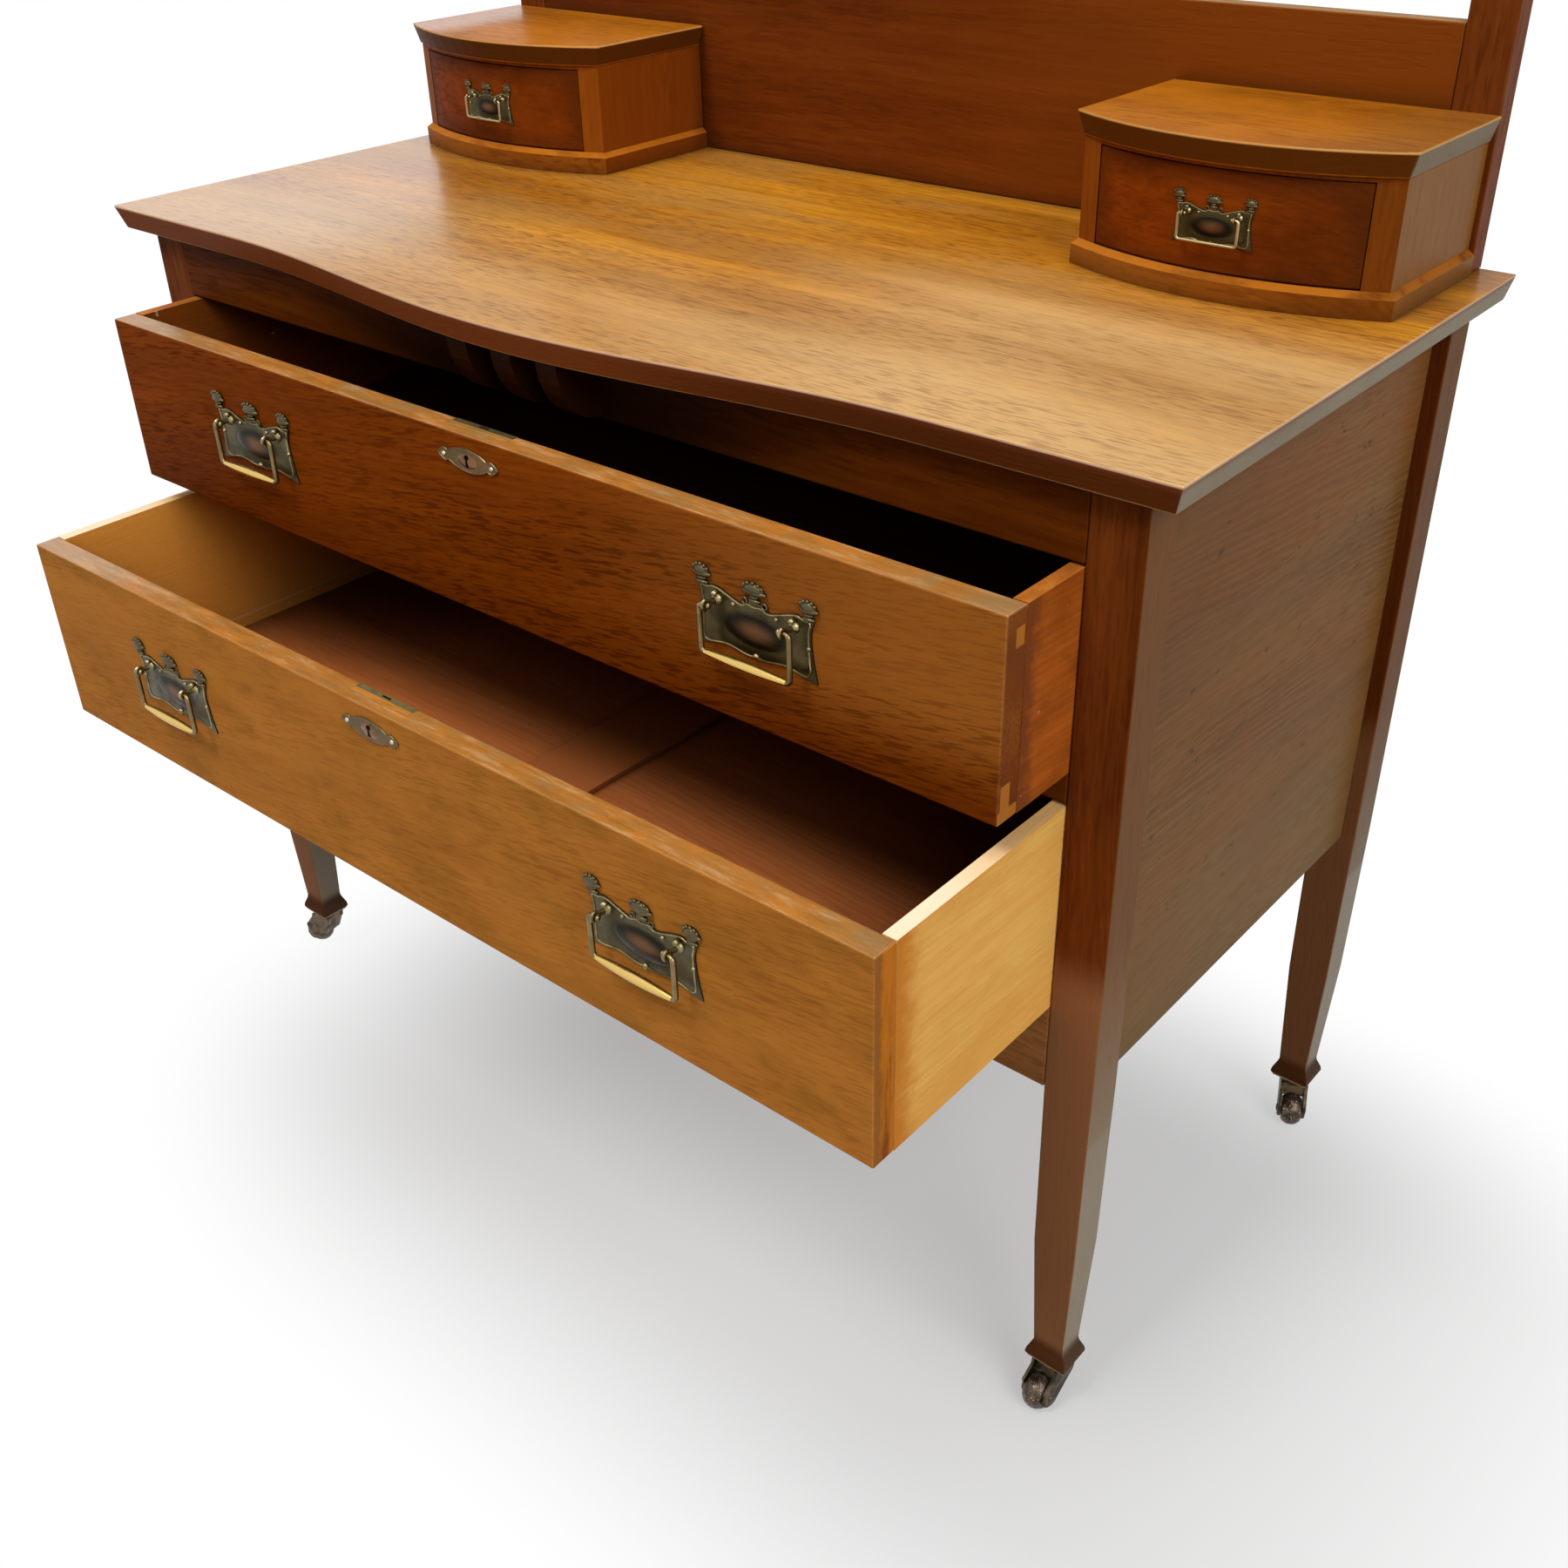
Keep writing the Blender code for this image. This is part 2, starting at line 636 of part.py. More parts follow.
def escutcheon_outline():
    """A lozenge with a small ear at each end."""
    half = ESCUTCHEON_WIDTH / 2
    tall = ESCUTCHEON_HEIGHT / 2
    ear = ESCUTCHEON_EAR
    right = [(0, -tall, False), (half * 0.45, -tall * 0.82, False), (half - 2 * ear, -ear * 0.9, True),
             (half - ear, -ear, False), (half, 0, False), (half - ear, ear, False),
             (half - 2 * ear, ear * 0.9, True), (half * 0.45, tall * 0.82, False), (0, tall, False)]
    return mirrored(right)


def make_drawer_front(shop, drawer, name, low, high):
    """The front board, with its lock let in behind and a keyhole under the escutcheon."""
    board = slab(name + "_front", (-HALF_DRAWER, 0, low), (HALF_DRAWER, FRONT_THICK, high))
    front = round_edges(shop.part(name + "_front", board, "oak", drawer))
    lock_low = (-LOCK_WIDTH / 2, FRONT_THICK - LOCK_DEPTH, high - LOCK_HEIGHT)
    lock_high = (LOCK_WIDTH / 2, FRONT_THICK, high)
    shop.part(name + "_lock", slab(name + "_lock", lock_low, lock_high), "antique_brass", drawer)
    recess = slab(name + "_lock_recess", [v - SEAT for v in lock_low],
                  (lock_high[0] + SEAT, lock_high[1] + CUT_PAST, lock_high[2] + CUT_PAST))
    boolean(front, shop.cutter(name + "_lock_recess", recess, drawer))
    key_z = high - KEY_DROP
    keyhole = slab(name + "_keyhole", (-KEY_WIDTH / 2, -CUT_PAST, key_z - KEY_HEIGHT / 2),
                   (KEY_WIDTH / 2, FRONT_THICK - LOCK_DEPTH, key_z + KEY_HEIGHT / 2))
    hole = shop.cutter(name + "_keyhole", keyhole, drawer)
    boolean(front, hole)
    plate = flat_outline(name + "_escutcheon", [escutcheon_outline()], ESCUTCHEON_THICK, 2)
    escutcheon = shop.part(name + "_escutcheon", plate, "antique_brass", drawer, (0, -SEAT, key_z),
                           facing_front())
    boolean(escutcheon, hole)
    return front


def make_drawer(shop, root, name, low, high, opened, muntin):
    """A long drawer: front, box of two sides and a back, and a bottom held in grooves."""
    drawer = shop.empty(name, root, (0, -opened, 0))
    front = make_drawer_front(shop, drawer, name, low, high)
    behind = FRONT_THICK + SEAT
    bottom_low = low + BOTTOM_RISE
    bottom_high = bottom_low + BOTTOM_THICK
    hollow = HALF_DRAWER - SIDE_THICK
    back_front = DRAWER_LENGTH - DRAWER_BACK_THICK
    box = shop.part(name + "_box", slab(name + "_box", (-HALF_DRAWER, behind, low),
                                        (HALF_DRAWER, DRAWER_LENGTH, high)), "pale_drawer_wood", drawer)
    inside = slab(name + "_hollow", (-hollow, -CUT_PAST, low - CUT_PAST),
                  (hollow, back_front, high + CUT_PAST))
    boolean(box, shop.cutter(name + "_hollow", inside, drawer))
    over_back = slab(name + "_over_back", (-hollow, -CUT_PAST, high - DRAWER_BACK_DROP),
                     (hollow, DRAWER_LENGTH + CUT_PAST, high + CUT_PAST))
    boolean(box, shop.cutter(name + "_over_back", over_back, drawer))
    under_back = slab(name + "_under_back", (-hollow, -CUT_PAST, low - CUT_PAST),
                      (hollow, DRAWER_LENGTH + CUT_PAST, bottom_high + SEAT))
    boolean(box, shop.cutter(name + "_under_back", under_back, drawer))
    panel_half = hollow + GROOVE_DEPTH
    panel_front = FRONT_THICK - GROOVE_DEPTH
    groove = slab(name + "_groove", (-panel_half - SEAT, panel_front - SEAT, bottom_low - SEAT),
                  (panel_half + SEAT, DRAWER_LENGTH + CUT_PAST, bottom_high + SEAT))
    groove_cutter = shop.cutter(name + "_groove", groove, drawer)
    boolean(box, groove_cutter)
    boolean(front, groove_cutter)
    if muntin:
        bar = slab(name + "_muntin", (-MUNTIN_WIDTH / 2, behind, bottom_high + SEAT),
                   (MUNTIN_WIDTH / 2, back_front + BITE, bottom_high + SEAT + MUNTIN_THICK))
        boolean(box, shop.cutter(name + "_muntin", bar, drawer), "UNION")
    panel = slab(name + "_bottom", (-panel_half, panel_front, bottom_low),
                 (panel_half, DRAWER_LENGTH, bottom_high))
    shop.part(name + "_bottom", panel, "red_drawer_wood", drawer)
    for side, sign in (("left", -1), ("right", 1)):
        make_handle(shop, drawer, f"{name}_{side}",
                    (sign * (HALF_DRAWER - HANDLE_INSET), 0, (low + high) / 2 + HANDLE_RISE))


def arc_radius(half, bow):
    return (half ** 2 + bow ** 2) / (2 * bow)


def arc_points(half, radius, centre):
    """Points of an arc about (0, centre) that bows to the front, from x = -half to half."""
    points = []
    for i in range(BOX_ARC_STEPS + 1):
        x = half * (2 * i / BOX_ARC_STEPS - 1)
        points.append((x, centre - math.sqrt(radius ** 2 - x ** 2)))
    return points


def bowed(half, corner, bow, back, inset=0.0):
    """A plan with a bowed front and a straight back, inset at the front and the sides."""
    radius = arc_radius(half, bow)
    centre = corner - bow + radius
    front = arc_points(half - inset, radius - inset, centre)
    return front + [(half - inset, back), (inset - half, back)]


def make_box_case(shop, place, name):
    """Plinth, stiles, sides, back and thin upper rail of a trinket box in one piece, open at the front."""
    plinth = bowed(HALF_PLINTH, PLINTH_CORNER, PLINTH_BOW, BOX_BACK)
    case = bowed(HALF_PLINTH, PLINTH_CORNER, PLINTH_BOW, BOX_BACK, BOX_STEP)
    rings = [at_height(plinth, BOX_BASE), at_height(plinth, BOX_FLOOR - PLINTH_LIP),
             at_height(case, BOX_FLOOR), at_height(case, BOX_TOP_UNDER)]
    body = shop.part(name + "_case", loft(name + "_case", rings), "oak", place)
    mouth = slab(name + "_mouth", (-HALF_BOX_MOUTH, 0, BOX_FLOOR),
                 (HALF_BOX_MOUTH, BOX_BACK - BOX_BACK_THICK, BOX_MOUTH_TOP))
    boolean(body, shop.cutter(name + "_mouth", mouth, place))


def make_box_drawer(shop, place, name):
    """The trinket drawer: a curved front, a tray behind it, and a small handle."""
    drawer = shop.empty(name + "_drawer", place)
    half = HALF_BOX_MOUTH - TRINKET_OPEN_GAP
    radius = arc_radius(HALF_PLINTH, PLINTH_BOW)
    centre = PLINTH_CORNER - PLINTH_BOW + radius
    face_radius = radius - BOX_STEP
    low = BOX_FLOOR + TRINKET_OPEN_GAP
    high = BOX_MOUTH_TOP - TRINKET_OPEN_GAP
    face = arc_points(half, face_radius, centre)
    inner = arc_points(half, face_radius - TRINKET_FRONT_THICK, centre)
    plan = face + inner[::-1]
    front = loft(name + "_drawer_front", [at_height(plan, low), at_height(plan, high)])
    round_edges(shop.part(name + "_drawer_front", front, "dark_oak", drawer))
    back = BOX_BACK - BOX_BACK_THICK - TRAY_BACK_GAP
    tray_front = arc_points(half, face_radius - TRINKET_FRONT_THICK - SEAT, centre)
    tray_plan = tray_front + [(half, back), (-half, back)]
    rings = [at_height(tray_plan, BOX_FLOOR + SEAT), at_height(tray_plan, high - TRAY_DROP)]
    tray = shop.part(name + "_drawer_tray", loft(name + "_drawer_tray", rings), "pale_drawer_wood", drawer)
    pocket = slab(name + "_tray_pocket", (TRAY_WALL - half, 0, BOX_FLOOR + SEAT + TRAY_FLOOR),
                  (half - TRAY_WALL, back - TRAY_WALL, high + CUT_PAST))
    boolean(tray, shop.cutter(name + "_tray_pocket", pocket, drawer))
    make_handle(shop, drawer, name, (0, centre - face_radius, (low + high) / 2 + TRINKET_HANDLE_RISE),
                TRINKET_BAIL_DROP, TRINKET_HANDLE_SCALE, face_radius)


def make_trinket_boxes(shop, root):
    for side, sign in (("left", -1), ("right", 1)):
        name = side + "_trinket"
        place = shop.empty(name + "_box", root, (sign * BOX_CENTRE, 0, 0))
        make_box_case(shop, place, name)
        half = BOX_WIDTH / 2
        rings = [at_height(bowed(half, BOX_CORNER, BOX_BOW, BOX_BACK, BOX_TOP_BEVEL), BOX_TOP_UNDER + SEAT),
                 at_height(bowed(half, BOX_CORNER, BOX_BOW, BOX_BACK), BOX_BASE + BOX_HEIGHT)]
        round_edges(shop.part(name + "_top", loft(name + "_top", rings), "oak", place))
        make_box_drawer(shop, place, name)


def make_uprights(shop, root):
    """Splash board between two uprights, which carry the mirror's pivots."""
    inside = UPRIGHT_INNER - SEAT
    front = UPRIGHT_FRONT + SPLASH_SETBACK
    board = slab("splash_board", (-inside, front, BOX_BASE),
                 (inside, front + SPLASH_THICK, TOP_HEIGHT + SPLASH_HEIGHT))
    round_edges(shop.part("splash_board", board, "dark_oak", root))
    top = PIVOT_HEIGHT + UPRIGHT_ABOVE_PIVOT
    sideways = Matrix.Rotation(math.radians(90), 4, "Y")
    for side, sign in (("left", -1), ("right", 1)):
        name = side + "_upright"
        middle = (sign * (UPRIGHT_OUTER - UPRIGHT_WIDTH / 2), PIVOT_DEPTH)
        post = rectangle(middle, UPRIGHT_WIDTH, UPRIGHT_DEPTH)
        cap = rectangle(middle, UPRIGHT_WIDTH - 2 * UPRIGHT_CAP_INSET, UPRIGHT_DEPTH - 2 * UPRIGHT_CAP_INSET)
        rings = [at_height(post, BOX_BASE), at_height(post, top - UPRIGHT_CAP), at_height(cap, top)]
        upright = round_edges(shop.part(name, loft(name, rings), "dark_oak", root))
        reach = UPRIGHT_WIDTH / 2 + CUT_PAST
        bore = cylinders(name + "_bore", PIVOT_RADIUS + PIVOT_CLEAR, -reach, reach,
                         [(*middle, PIVOT_HEIGHT)], sideways)
        boolean(upright, shop.cutter(name + "_bore", bore, root))
        knob = [(0, KNOB_THICK), (KNOB_RADIUS / 2, KNOB_THICK), (KNOB_RADIUS, KNOB_THICK / 2),
                (KNOB_RADIUS, 0), (PIVOT_RADIUS, 0),
                (PIVOT_RADIUS, -UPRIGHT_WIDTH - MIRROR_SIDE_GAP - PIVOT_BITE - SEAT),
                (0, -UPRIGHT_WIDTH - MIRROR_SIDE_GAP - PIVOT_BITE - SEAT)]
        pivot = shop.part(side + "_mirror_pivot", profile(side + "_mirror_pivot", knob), "antique_brass",
                          root, (sign * (UPRIGHT_OUTER + SEAT), PIVOT_DEPTH, PIVOT_HEIGHT),
                          (0, sign * math.radians(90), 0))
        turned(pivot, ROUND_SEGMENTS)


def make_mirror(shop, root):
    """Frame, glass and back board, hung on the pivots at half height."""
    mirror = shop.empty("mirror", root, (0, PIVOT_DEPTH, PIVOT_HEIGHT))
    front = -MIRROR_THICK / 2
    tall = MIRROR_HEIGHT / 2
    sight = (HALF_MIRROR - MIRROR_STILE, tall - MIRROR_STILE)
    rebate = (sight[0] + REBATE, sight[1] + REBATE)
    frame = round_edges(shop.part("mirror_frame", slab("mirror_frame", (-HALF_MIRROR, front, -tall),
                                                       (HALF_MIRROR, -front, tall)), "dark_oak", mirror))
    opening = slab("mirror_opening", (-sight[0], front - CUT_PAST, -sight[1]),
                   (sight[0], CUT_PAST - front, sight[1]))
    boolean(frame, shop.cutter("mirror_opening", opening, mirror))
    glass_front = front + MIRROR_LIP
    pocket = slab("mirror_rebate", (-rebate[0], glass_front, -rebate[1]),
                  (rebate[0], CUT_PAST - front, rebate[1]))
    boolean(frame, shop.cutter("mirror_rebate", pocket, mirror))
    depth = PIVOT_BITE + 2 * SEAT
    sideways = Matrix.Rotation(math.radians(90), 4, "Y")
    sockets = [(sign * (HALF_MIRROR - depth / 2 + CUT_PAST / 2), 0, 0) for sign in (-1, 1)]
    reach = (depth + CUT_PAST) / 2
    bores = cylinders("mirror_sockets", PIVOT_RADIUS + PIVOT_CLEAR, -reach, reach, sockets, sideways)
    boolean(frame, shop.cutter("mirror_sockets", bores, mirror))
    half = rebate[0] - SEAT
    high = rebate[1] - SEAT
    glass_back = glass_front + SEAT + GLASS_THICK
    glass = slab("mirror_glass", (-half, glass_front + SEAT, -high), (half, glass_back, high))
    shop.part("mirror_glass", glass, "mirror_glass", mirror)
    board = slab("mirror_back", (-half, glass_back + SEAT, -high),
                 (half, glass_back + SEAT + MIRROR_BACK_THICK, high))
    shop.part("mirror_back", board, "red_drawer_wood", mirror)


def cheek_outline():
    """Side view of a castor's cheek, from the plate down to the axle."""
    plate = CASTOR_HEIGHT - SEAT - CASTOR_PLATE_THICK + BITE
    ear = [(-CHEEK_NECK, plate)]
    for i in range(-3, 3):
        turn = math.radians(30 * i - 60)
        ear.append((CASTOR_TRAIL + CHEEK_EAR * math.cos(turn), WHEEL_RADIUS + CHEEK_EAR * math.sin(turn)))
    return ear + [(CHEEK_NECK, plate)]


def make_castors(shop, root):
    """Four castors: a horn that swivels in the foot, with its axle, and a wheel."""
    half_wheel = WHEEL_WIDTH / 2
    cheek_inner = half_wheel + WHEEL_SIDE_GAP
    plate_top = CASTOR_HEIGHT - SEAT
    plate_low = plate_top - CASTOR_PLATE_THICK
    along_axle = Matrix.Rotation(math.radians(90), 4, "X")
    for corner, place in LEG_PLACES.items():
        name = corner + "_castor"
        swivel = shop.empty(name, root, (*place, 0), math.radians(CASTOR_YAW[corner]))
        outline = [(0, plate_top + SPINDLE_LENGTH), (SPINDLE_RADIUS, plate_top + SPINDLE_LENGTH),
                   (SPINDLE_RADIUS, plate_top), (CASTOR_PLATE_RADIUS, plate_top),
                   (CASTOR_PLATE_RADIUS, plate_low), (0, plate_low)]
        horn = turned(shop.part(name + "_horn", profile(name + "_horn", outline), "castor_brass", swivel),
                      ROUND_SEGMENTS)
        for side, sign in (("left", -1), ("right", 1)):
            edges = (sign * cheek_inner, sign * (cheek_inner + CHEEK_THICK))
            cheek = f"{name}_{side}_cheek"
            mesh = loft(cheek, [[(x, y, z) for x, z in cheek_outline()] for y in edges])
            boolean(horn, shop.cutter(cheek, mesh, swivel), "UNION")
        reach = cheek_inner + BITE
        axle = cylinders(name + "_axle", AXLE_RADIUS, -reach, reach, [(CASTOR_TRAIL, 0, WHEEL_RADIUS)],
                         along_axle)
        boolean(horn, shop.cutter(name + "_axle", axle, swivel), "UNION")
        bore = AXLE_RADIUS + AXLE_CLEAR
        rim = WHEEL_RADIUS - WHEEL_SHOULDER
        tread = WHEEL_TREAD / 2
        section = [(rim, half_wheel), (WHEEL_RADIUS, tread), (WHEEL_RADIUS, -tread), (rim, -half_wheel),
                   (bore, -half_wheel), (bore, half_wheel)]
        wheel = shop.part(name + "_wheel", profile(name + "_wheel", section, closed=True), "castor_wheel",
                          swivel, (CASTOR_TRAIL, 0, WHEEL_RADIUS), (math.radians(90), 0, 0))
        turned(wheel, WHEEL_STEPS)


def shade_round_pieces(shop):
    round_endings = ("_plate", "_wheel", "_horn", "_pivot", "_front", "_top")
    for obj in shop.parts.objects:
        if obj.type == "MESH" and obj.name.endswith(round_endings):
            obj.data.shade_smooth()
            obj.data.set_sharp_from_angle(angle=EDGE_ANGLE)


def main():
    clear_scene()
    shop = Workshop()
    root = shop.empty(OBJECT_NAME, location=(0, FRONT_PLANE, 0))
    make_top(shop, root)
    make_legs(shop, root)
    make_carcase(shop, root)
    make_bracket(shop, root)
    make_drawer(shop, root, "upper_drawer", UPPER_BOTTOM, UPPER_TOP, UPPER_OPEN, muntin=False)
    make_drawer(shop, root, "lower_drawer", LOWER_BOTTOM, LOWER_TOP, LOWER_OPEN, muntin=True)
    make_trinket_boxes(shop, root)
    make_uprights(shop, root)
    make_mirror(shop, root)
    make_castors(shop, root)
    shade_round_pieces(shop)


if __name__ == "__main__":
    main()
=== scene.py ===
"""Dresses the oak dressing chest: woods, brass handles, locks, castors, mirror and a pale stage."""

import collections
import json
import math

import bmesh
import bpy
from bpy.props import FloatProperty, FloatVectorProperty, PointerProperty
from mathutils import Euler, Matrix, Vector


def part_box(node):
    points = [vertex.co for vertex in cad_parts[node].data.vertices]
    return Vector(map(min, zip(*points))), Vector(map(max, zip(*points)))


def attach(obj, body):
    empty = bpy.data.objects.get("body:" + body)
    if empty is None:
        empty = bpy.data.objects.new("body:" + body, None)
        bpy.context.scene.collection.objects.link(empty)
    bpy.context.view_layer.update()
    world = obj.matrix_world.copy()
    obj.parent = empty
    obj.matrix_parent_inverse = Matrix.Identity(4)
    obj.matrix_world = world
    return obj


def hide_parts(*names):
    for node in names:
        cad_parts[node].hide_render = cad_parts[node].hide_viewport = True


bl_info = {
    "name": "Dressing Chest",
    "version": (1, 0, 0),
    "blender": (4, 5, 0),
    "location": "View3D > Sidebar > Dressing Chest",
    "description": "Finishes, fittings and stage of an oak dressing chest",
    "category": "Object",
}

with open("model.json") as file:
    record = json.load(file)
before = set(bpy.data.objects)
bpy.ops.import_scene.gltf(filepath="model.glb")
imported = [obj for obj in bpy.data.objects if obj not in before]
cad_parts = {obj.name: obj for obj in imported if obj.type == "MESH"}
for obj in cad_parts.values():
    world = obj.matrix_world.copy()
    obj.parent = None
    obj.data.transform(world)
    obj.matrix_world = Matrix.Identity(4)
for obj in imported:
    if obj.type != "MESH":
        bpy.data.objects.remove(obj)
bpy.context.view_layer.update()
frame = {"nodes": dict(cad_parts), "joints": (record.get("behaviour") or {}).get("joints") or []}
NODES = frame["nodes"]
JOINTS = {joint["name"]: joint for joint in frame["joints"]}

SIDES = ("left", "right")
CORNERS = ("front_left", "front_right", "back_left", "back_right")
LONG_DRAWERS = ("upper_drawer", "lower_drawer")
SMOOTH_ANGLE = math.radians(38)

# Sizes of the handles and castors that the solids share, in metres
SEAT = 0.0003
STANDOFF = 0.0125
DISH_LOW = -0.0140
POST_SPREAD = 0.033
ARM_SPREAD = 0.0385
BAIL_DROP = 0.035
TRINKET_DROP = 0.030
TRINKET_SCALE = 0.6
WHEEL_HALF = 0.0095
CHEEK_INNER = 0.0101

# Right halves of outlines from the bottom middle up: right, up, sharp corner
PLATE_HALF = (
    (0.0000, -0.0335, False),
    (0.0080, -0.0340, False),
    (0.0250, -0.0315, False),
    (0.0430, -0.0345, False),
    (0.0520, -0.0360, True),
    (0.0485, -0.0190, False),
    (0.0470, -0.0020, False),
    (0.0500, 0.0085, True),
    (0.0450, 0.0105, False),
    (0.0400, 0.0082, True),
    (0.0330, 0.0092, False),
    (0.0130, 0.0032, False),
    (0.0055, 0.0060, True),
    (0.0000, 0.0085, False),
)
BEAD_HALF = (
    (0.0000, -0.0326, False),
    (0.0080, -0.0331, False),
    (0.0250, -0.0306, False),
    (0.0405, -0.0328, False),
    (0.0458, -0.0300, False),
    (0.0455, -0.0190, False),
    (0.0450, -0.0030, False),
    (0.0462, 0.0062, False),
    (0.0405, 0.0070, False),
    (0.0330, 0.0082, False),
    (0.0130, 0.0022, False),
    (0.0060, 0.0042, False),
    (0.0000, 0.0034, False),
)
KEYHOLE_PLATE_HALF = (
    (0.0000, -0.0092, False),
    (0.0130, -0.0074, False),
    (0.0215, -0.0040, True),
    (0.0260, -0.0052, False),
    (0.0330, 0.0000, False),
    (0.0262, 0.0052, False),
    (0.0215, 0.0040, True),
    (0.0130, 0.0074, False),
    (0.0000, 0.0092, False),
)

Handle = collections.namedtuple("Handle", "name body axis scale drop bow")


def colour_value(label, words, default):
    """A colour that the user may change, in linear light."""
    return FloatVectorProperty(name=label, description=words, subtype="COLOR", size=3, min=0.0,
                               max=1.0, default=default)


def length_value(label, words, default):
    """A length that the user may change, in metres."""
    return FloatProperty(name=label, description=words, subtype="DISTANCE", unit="LENGTH", min=0.0,
                         default=default)


def power_value(label, words, default):
    """The power of a lamp."""
    return FloatProperty(name=label, description=words, unit="POWER", min=0.0, default=default)


def share_value(label, words, default):
    """A share from 0 to 1."""
    return FloatProperty(name=label, description=words, subtype="FACTOR", min=0.0, max=1.0,
                         default=default)


class ChestWoods(bpy.types.PropertyGroup):
    """Colours of the oak and of the drawer woods."""

    top: colour_value("Top", "Top board, golden where the polish is worn", (0.54, 0.212, 0.013))
    top_band: colour_value("Top bands", "Redder bands along the top board", (0.33, 0.105, 0.006))
    top_dust: colour_value("Top dust", "Olive grey patches of the top board", (0.36, 0.185, 0.050))
    # Painted sheen: a paler colour that stands for the polish's reflection along the front of the top.
    top_sheen: colour_value("Top bloom", "Bloomed polish along the front of the top", (0.66, 0.42, 0.18))
    top_edge: colour_value("Top edge", "Front edge of the top board", (0.215, 0.050, 0.009))
    # Rubbed arris of the top, also painted as a highlight along its front edge.
    top_arris_and_highlight: colour_value("Top arris", "Rubbed arris of the top board", (0.82, 0.52, 0.32))
    # Rubbed arris of the trinket tops, also painted as a highlight along their front edges.
    golden_arris_and_highlight: colour_value("Golden arris", "Rubbed arris of the trinket tops", (0.78, 0.42, 0.12))
    # End grain of the tops with a painted grey sheen; also the painted sheen on the legs' lower sides.
    end_grain_and_sheen: colour_value("End grain", "Dry end grain under the tops", (0.34, 0.29, 0.20))
    post: colour_value("Legs", "Legs and uprights", (0.160, 0.036, 0.005))
    # Leg sides, with a painted grey sheen for the light that they reflect.
    leg_side_and_sheen: colour_value("Leg sides", "Greyer sides of the legs", (0.195, 0.086, 0.024))
    # Painted light: the lighter colour of the legs below the drawers, where more light reaches them.
    lit_ankle: colour_value("Ankles", "Faded lower ends of the legs", (0.31, 0.130, 0.052))
    panel: colour_value("Side panels", "Side panels", (0.205, 0.094, 0.024))
    upper: colour_value("Upper drawer front", "Front board of the upper drawer", (0.225, 0.044, 0.0015))
    lower: colour_value("Lower drawer front", "Front board of the lower drawer", (0.51, 0.182, 0.028))
    front_edge: colour_value("Drawer edge", "Upper edge of the drawer fronts", (0.38, 0.195, 0.052))
    golden_edge: colour_value("Golden edge", "Golden parts of the drawers' edge", (0.40, 0.140, 0.018))
    # Darkened as painted shade for the shadow under the top.
    frieze: colour_value("Frieze", "Frieze and bracket under the top", (0.135, 0.029, 0.0015))
    rail: colour_value("Rails", "Rails between and under the drawers", (0.34, 0.135, 0.038))
    splash: colour_value("Splash board", "Board behind the trinket boxes", (0.150, 0.031, 0.003))
    trinket_front: colour_value("Trinket fronts", "Curved fronts of the trinket drawers",
                                (0.235, 0.043, 0.002))
    trinket_case: colour_value("Trinket cases", "Sides and plinths of the trinket boxes",
                               (0.27, 0.075, 0.006))
    trinket_top: colour_value("Trinket tops", "Tops of the trinket boxes", (0.36, 0.112, 0.006))
    pale: colour_value("Pale drawer sides", "Sides and back of the lower drawer", (0.97, 0.50, 0.115))
    pale_inside: colour_value("Pale inside", "Inner faces of the lower drawer", (0.82, 0.33, 0.045))
    cream: colour_value("Cream edge", "Upper edges of the drawer sides", (0.96, 0.84, 0.62))
    red: colour_value("Red drawer sides", "Sides and back of the upper drawer", (0.45, 0.107, 0.011))
    bottom: colour_value("Drawer bottoms", "Bottoms, dust boards and back boards", (0.55, 0.165, 0.045))
    worn: colour_value("Worn arris", "Edges where the polish is rubbed off", (0.62, 0.40, 0.20))
    worn_red: colour_value("Red arris", "Rubbed edges of the legs", (0.24, 0.055, 0.020))
    stain: colour_value("Joint stain", "Stain beside the drawer joints", (0.175, 0.043, 0.011))
    orange: colour_value("Orange stain", "Orange stain beside the pale sides", (0.64, 0.200, 0.014))
    tail: colour_value("Dovetails", "Dovetails in the drawer fronts' ends", (0.56, 0.20, 0.030))
    # Old polish and dust, and also the painted shade in corners, under the top and inside the drawers.
    dirt_and_shade: colour_value("Old polish", "Old polish and dust in the corners", (0.050, 0.014, 0.003))
    sway: length_value("Grain sway", "How far the grain wanders across a board", 0.024)


class ChestMetals(bpy.types.PropertyGroup):
    """Colours of the fittings."""

    bronze: colour_value("Bronze", "Field of the handle plates", (0.086, 0.069, 0.030))
    # Darkest tarnish, also used as painted shade in the handle plates' dishes, the keyholes and the lock
    # slots.
    shade: colour_value("Shade", "Darkest tarnish of the brass", (0.010, 0.008, 0.006))
    rubbed: colour_value("Rubbed brass", "Rims, eyes and rivets", (0.33, 0.27, 0.14))
    bud: colour_value("Buds", "Finials of the handle plates", (0.105, 0.086, 0.046))
    # Painted reflection: the copper colour in the middle of the handle plates, and partly on the keyhole
    # plates' ovals.
    copper: colour_value("Copper", "Worn dish of the handle plates", (0.15, 0.070, 0.032))
    grip: colour_value("Grip", "Polished grip of the bails", (0.76, 0.52, 0.16))
    # Painted shade on the undersides of the grips.
    grip_underside_shade: colour_value("Grip under", "Underside of the grips", (0.40, 0.25, 0.045))
    arm: colour_value("Arms", "Arms of the bails", (0.30, 0.21, 0.095))
    pin: colour_value("Pins", "Bright pins of the keyhole plates", (0.55, 0.48, 0.38))
    lock: colour_value("Lock", "Brass of the drawer locks", (0.38, 0.30, 0.12))
    horn: colour_value("Castor", "Dark brass of the castors", (0.125, 0.088, 0.052))
    wheel: colour_value("Castor wheel", "Worn wheels of the castors", (0.13, 0.085, 0.055))
    glass: colour_value("Mirror", "Silvered glass", (0.86, 0.88, 0.88))


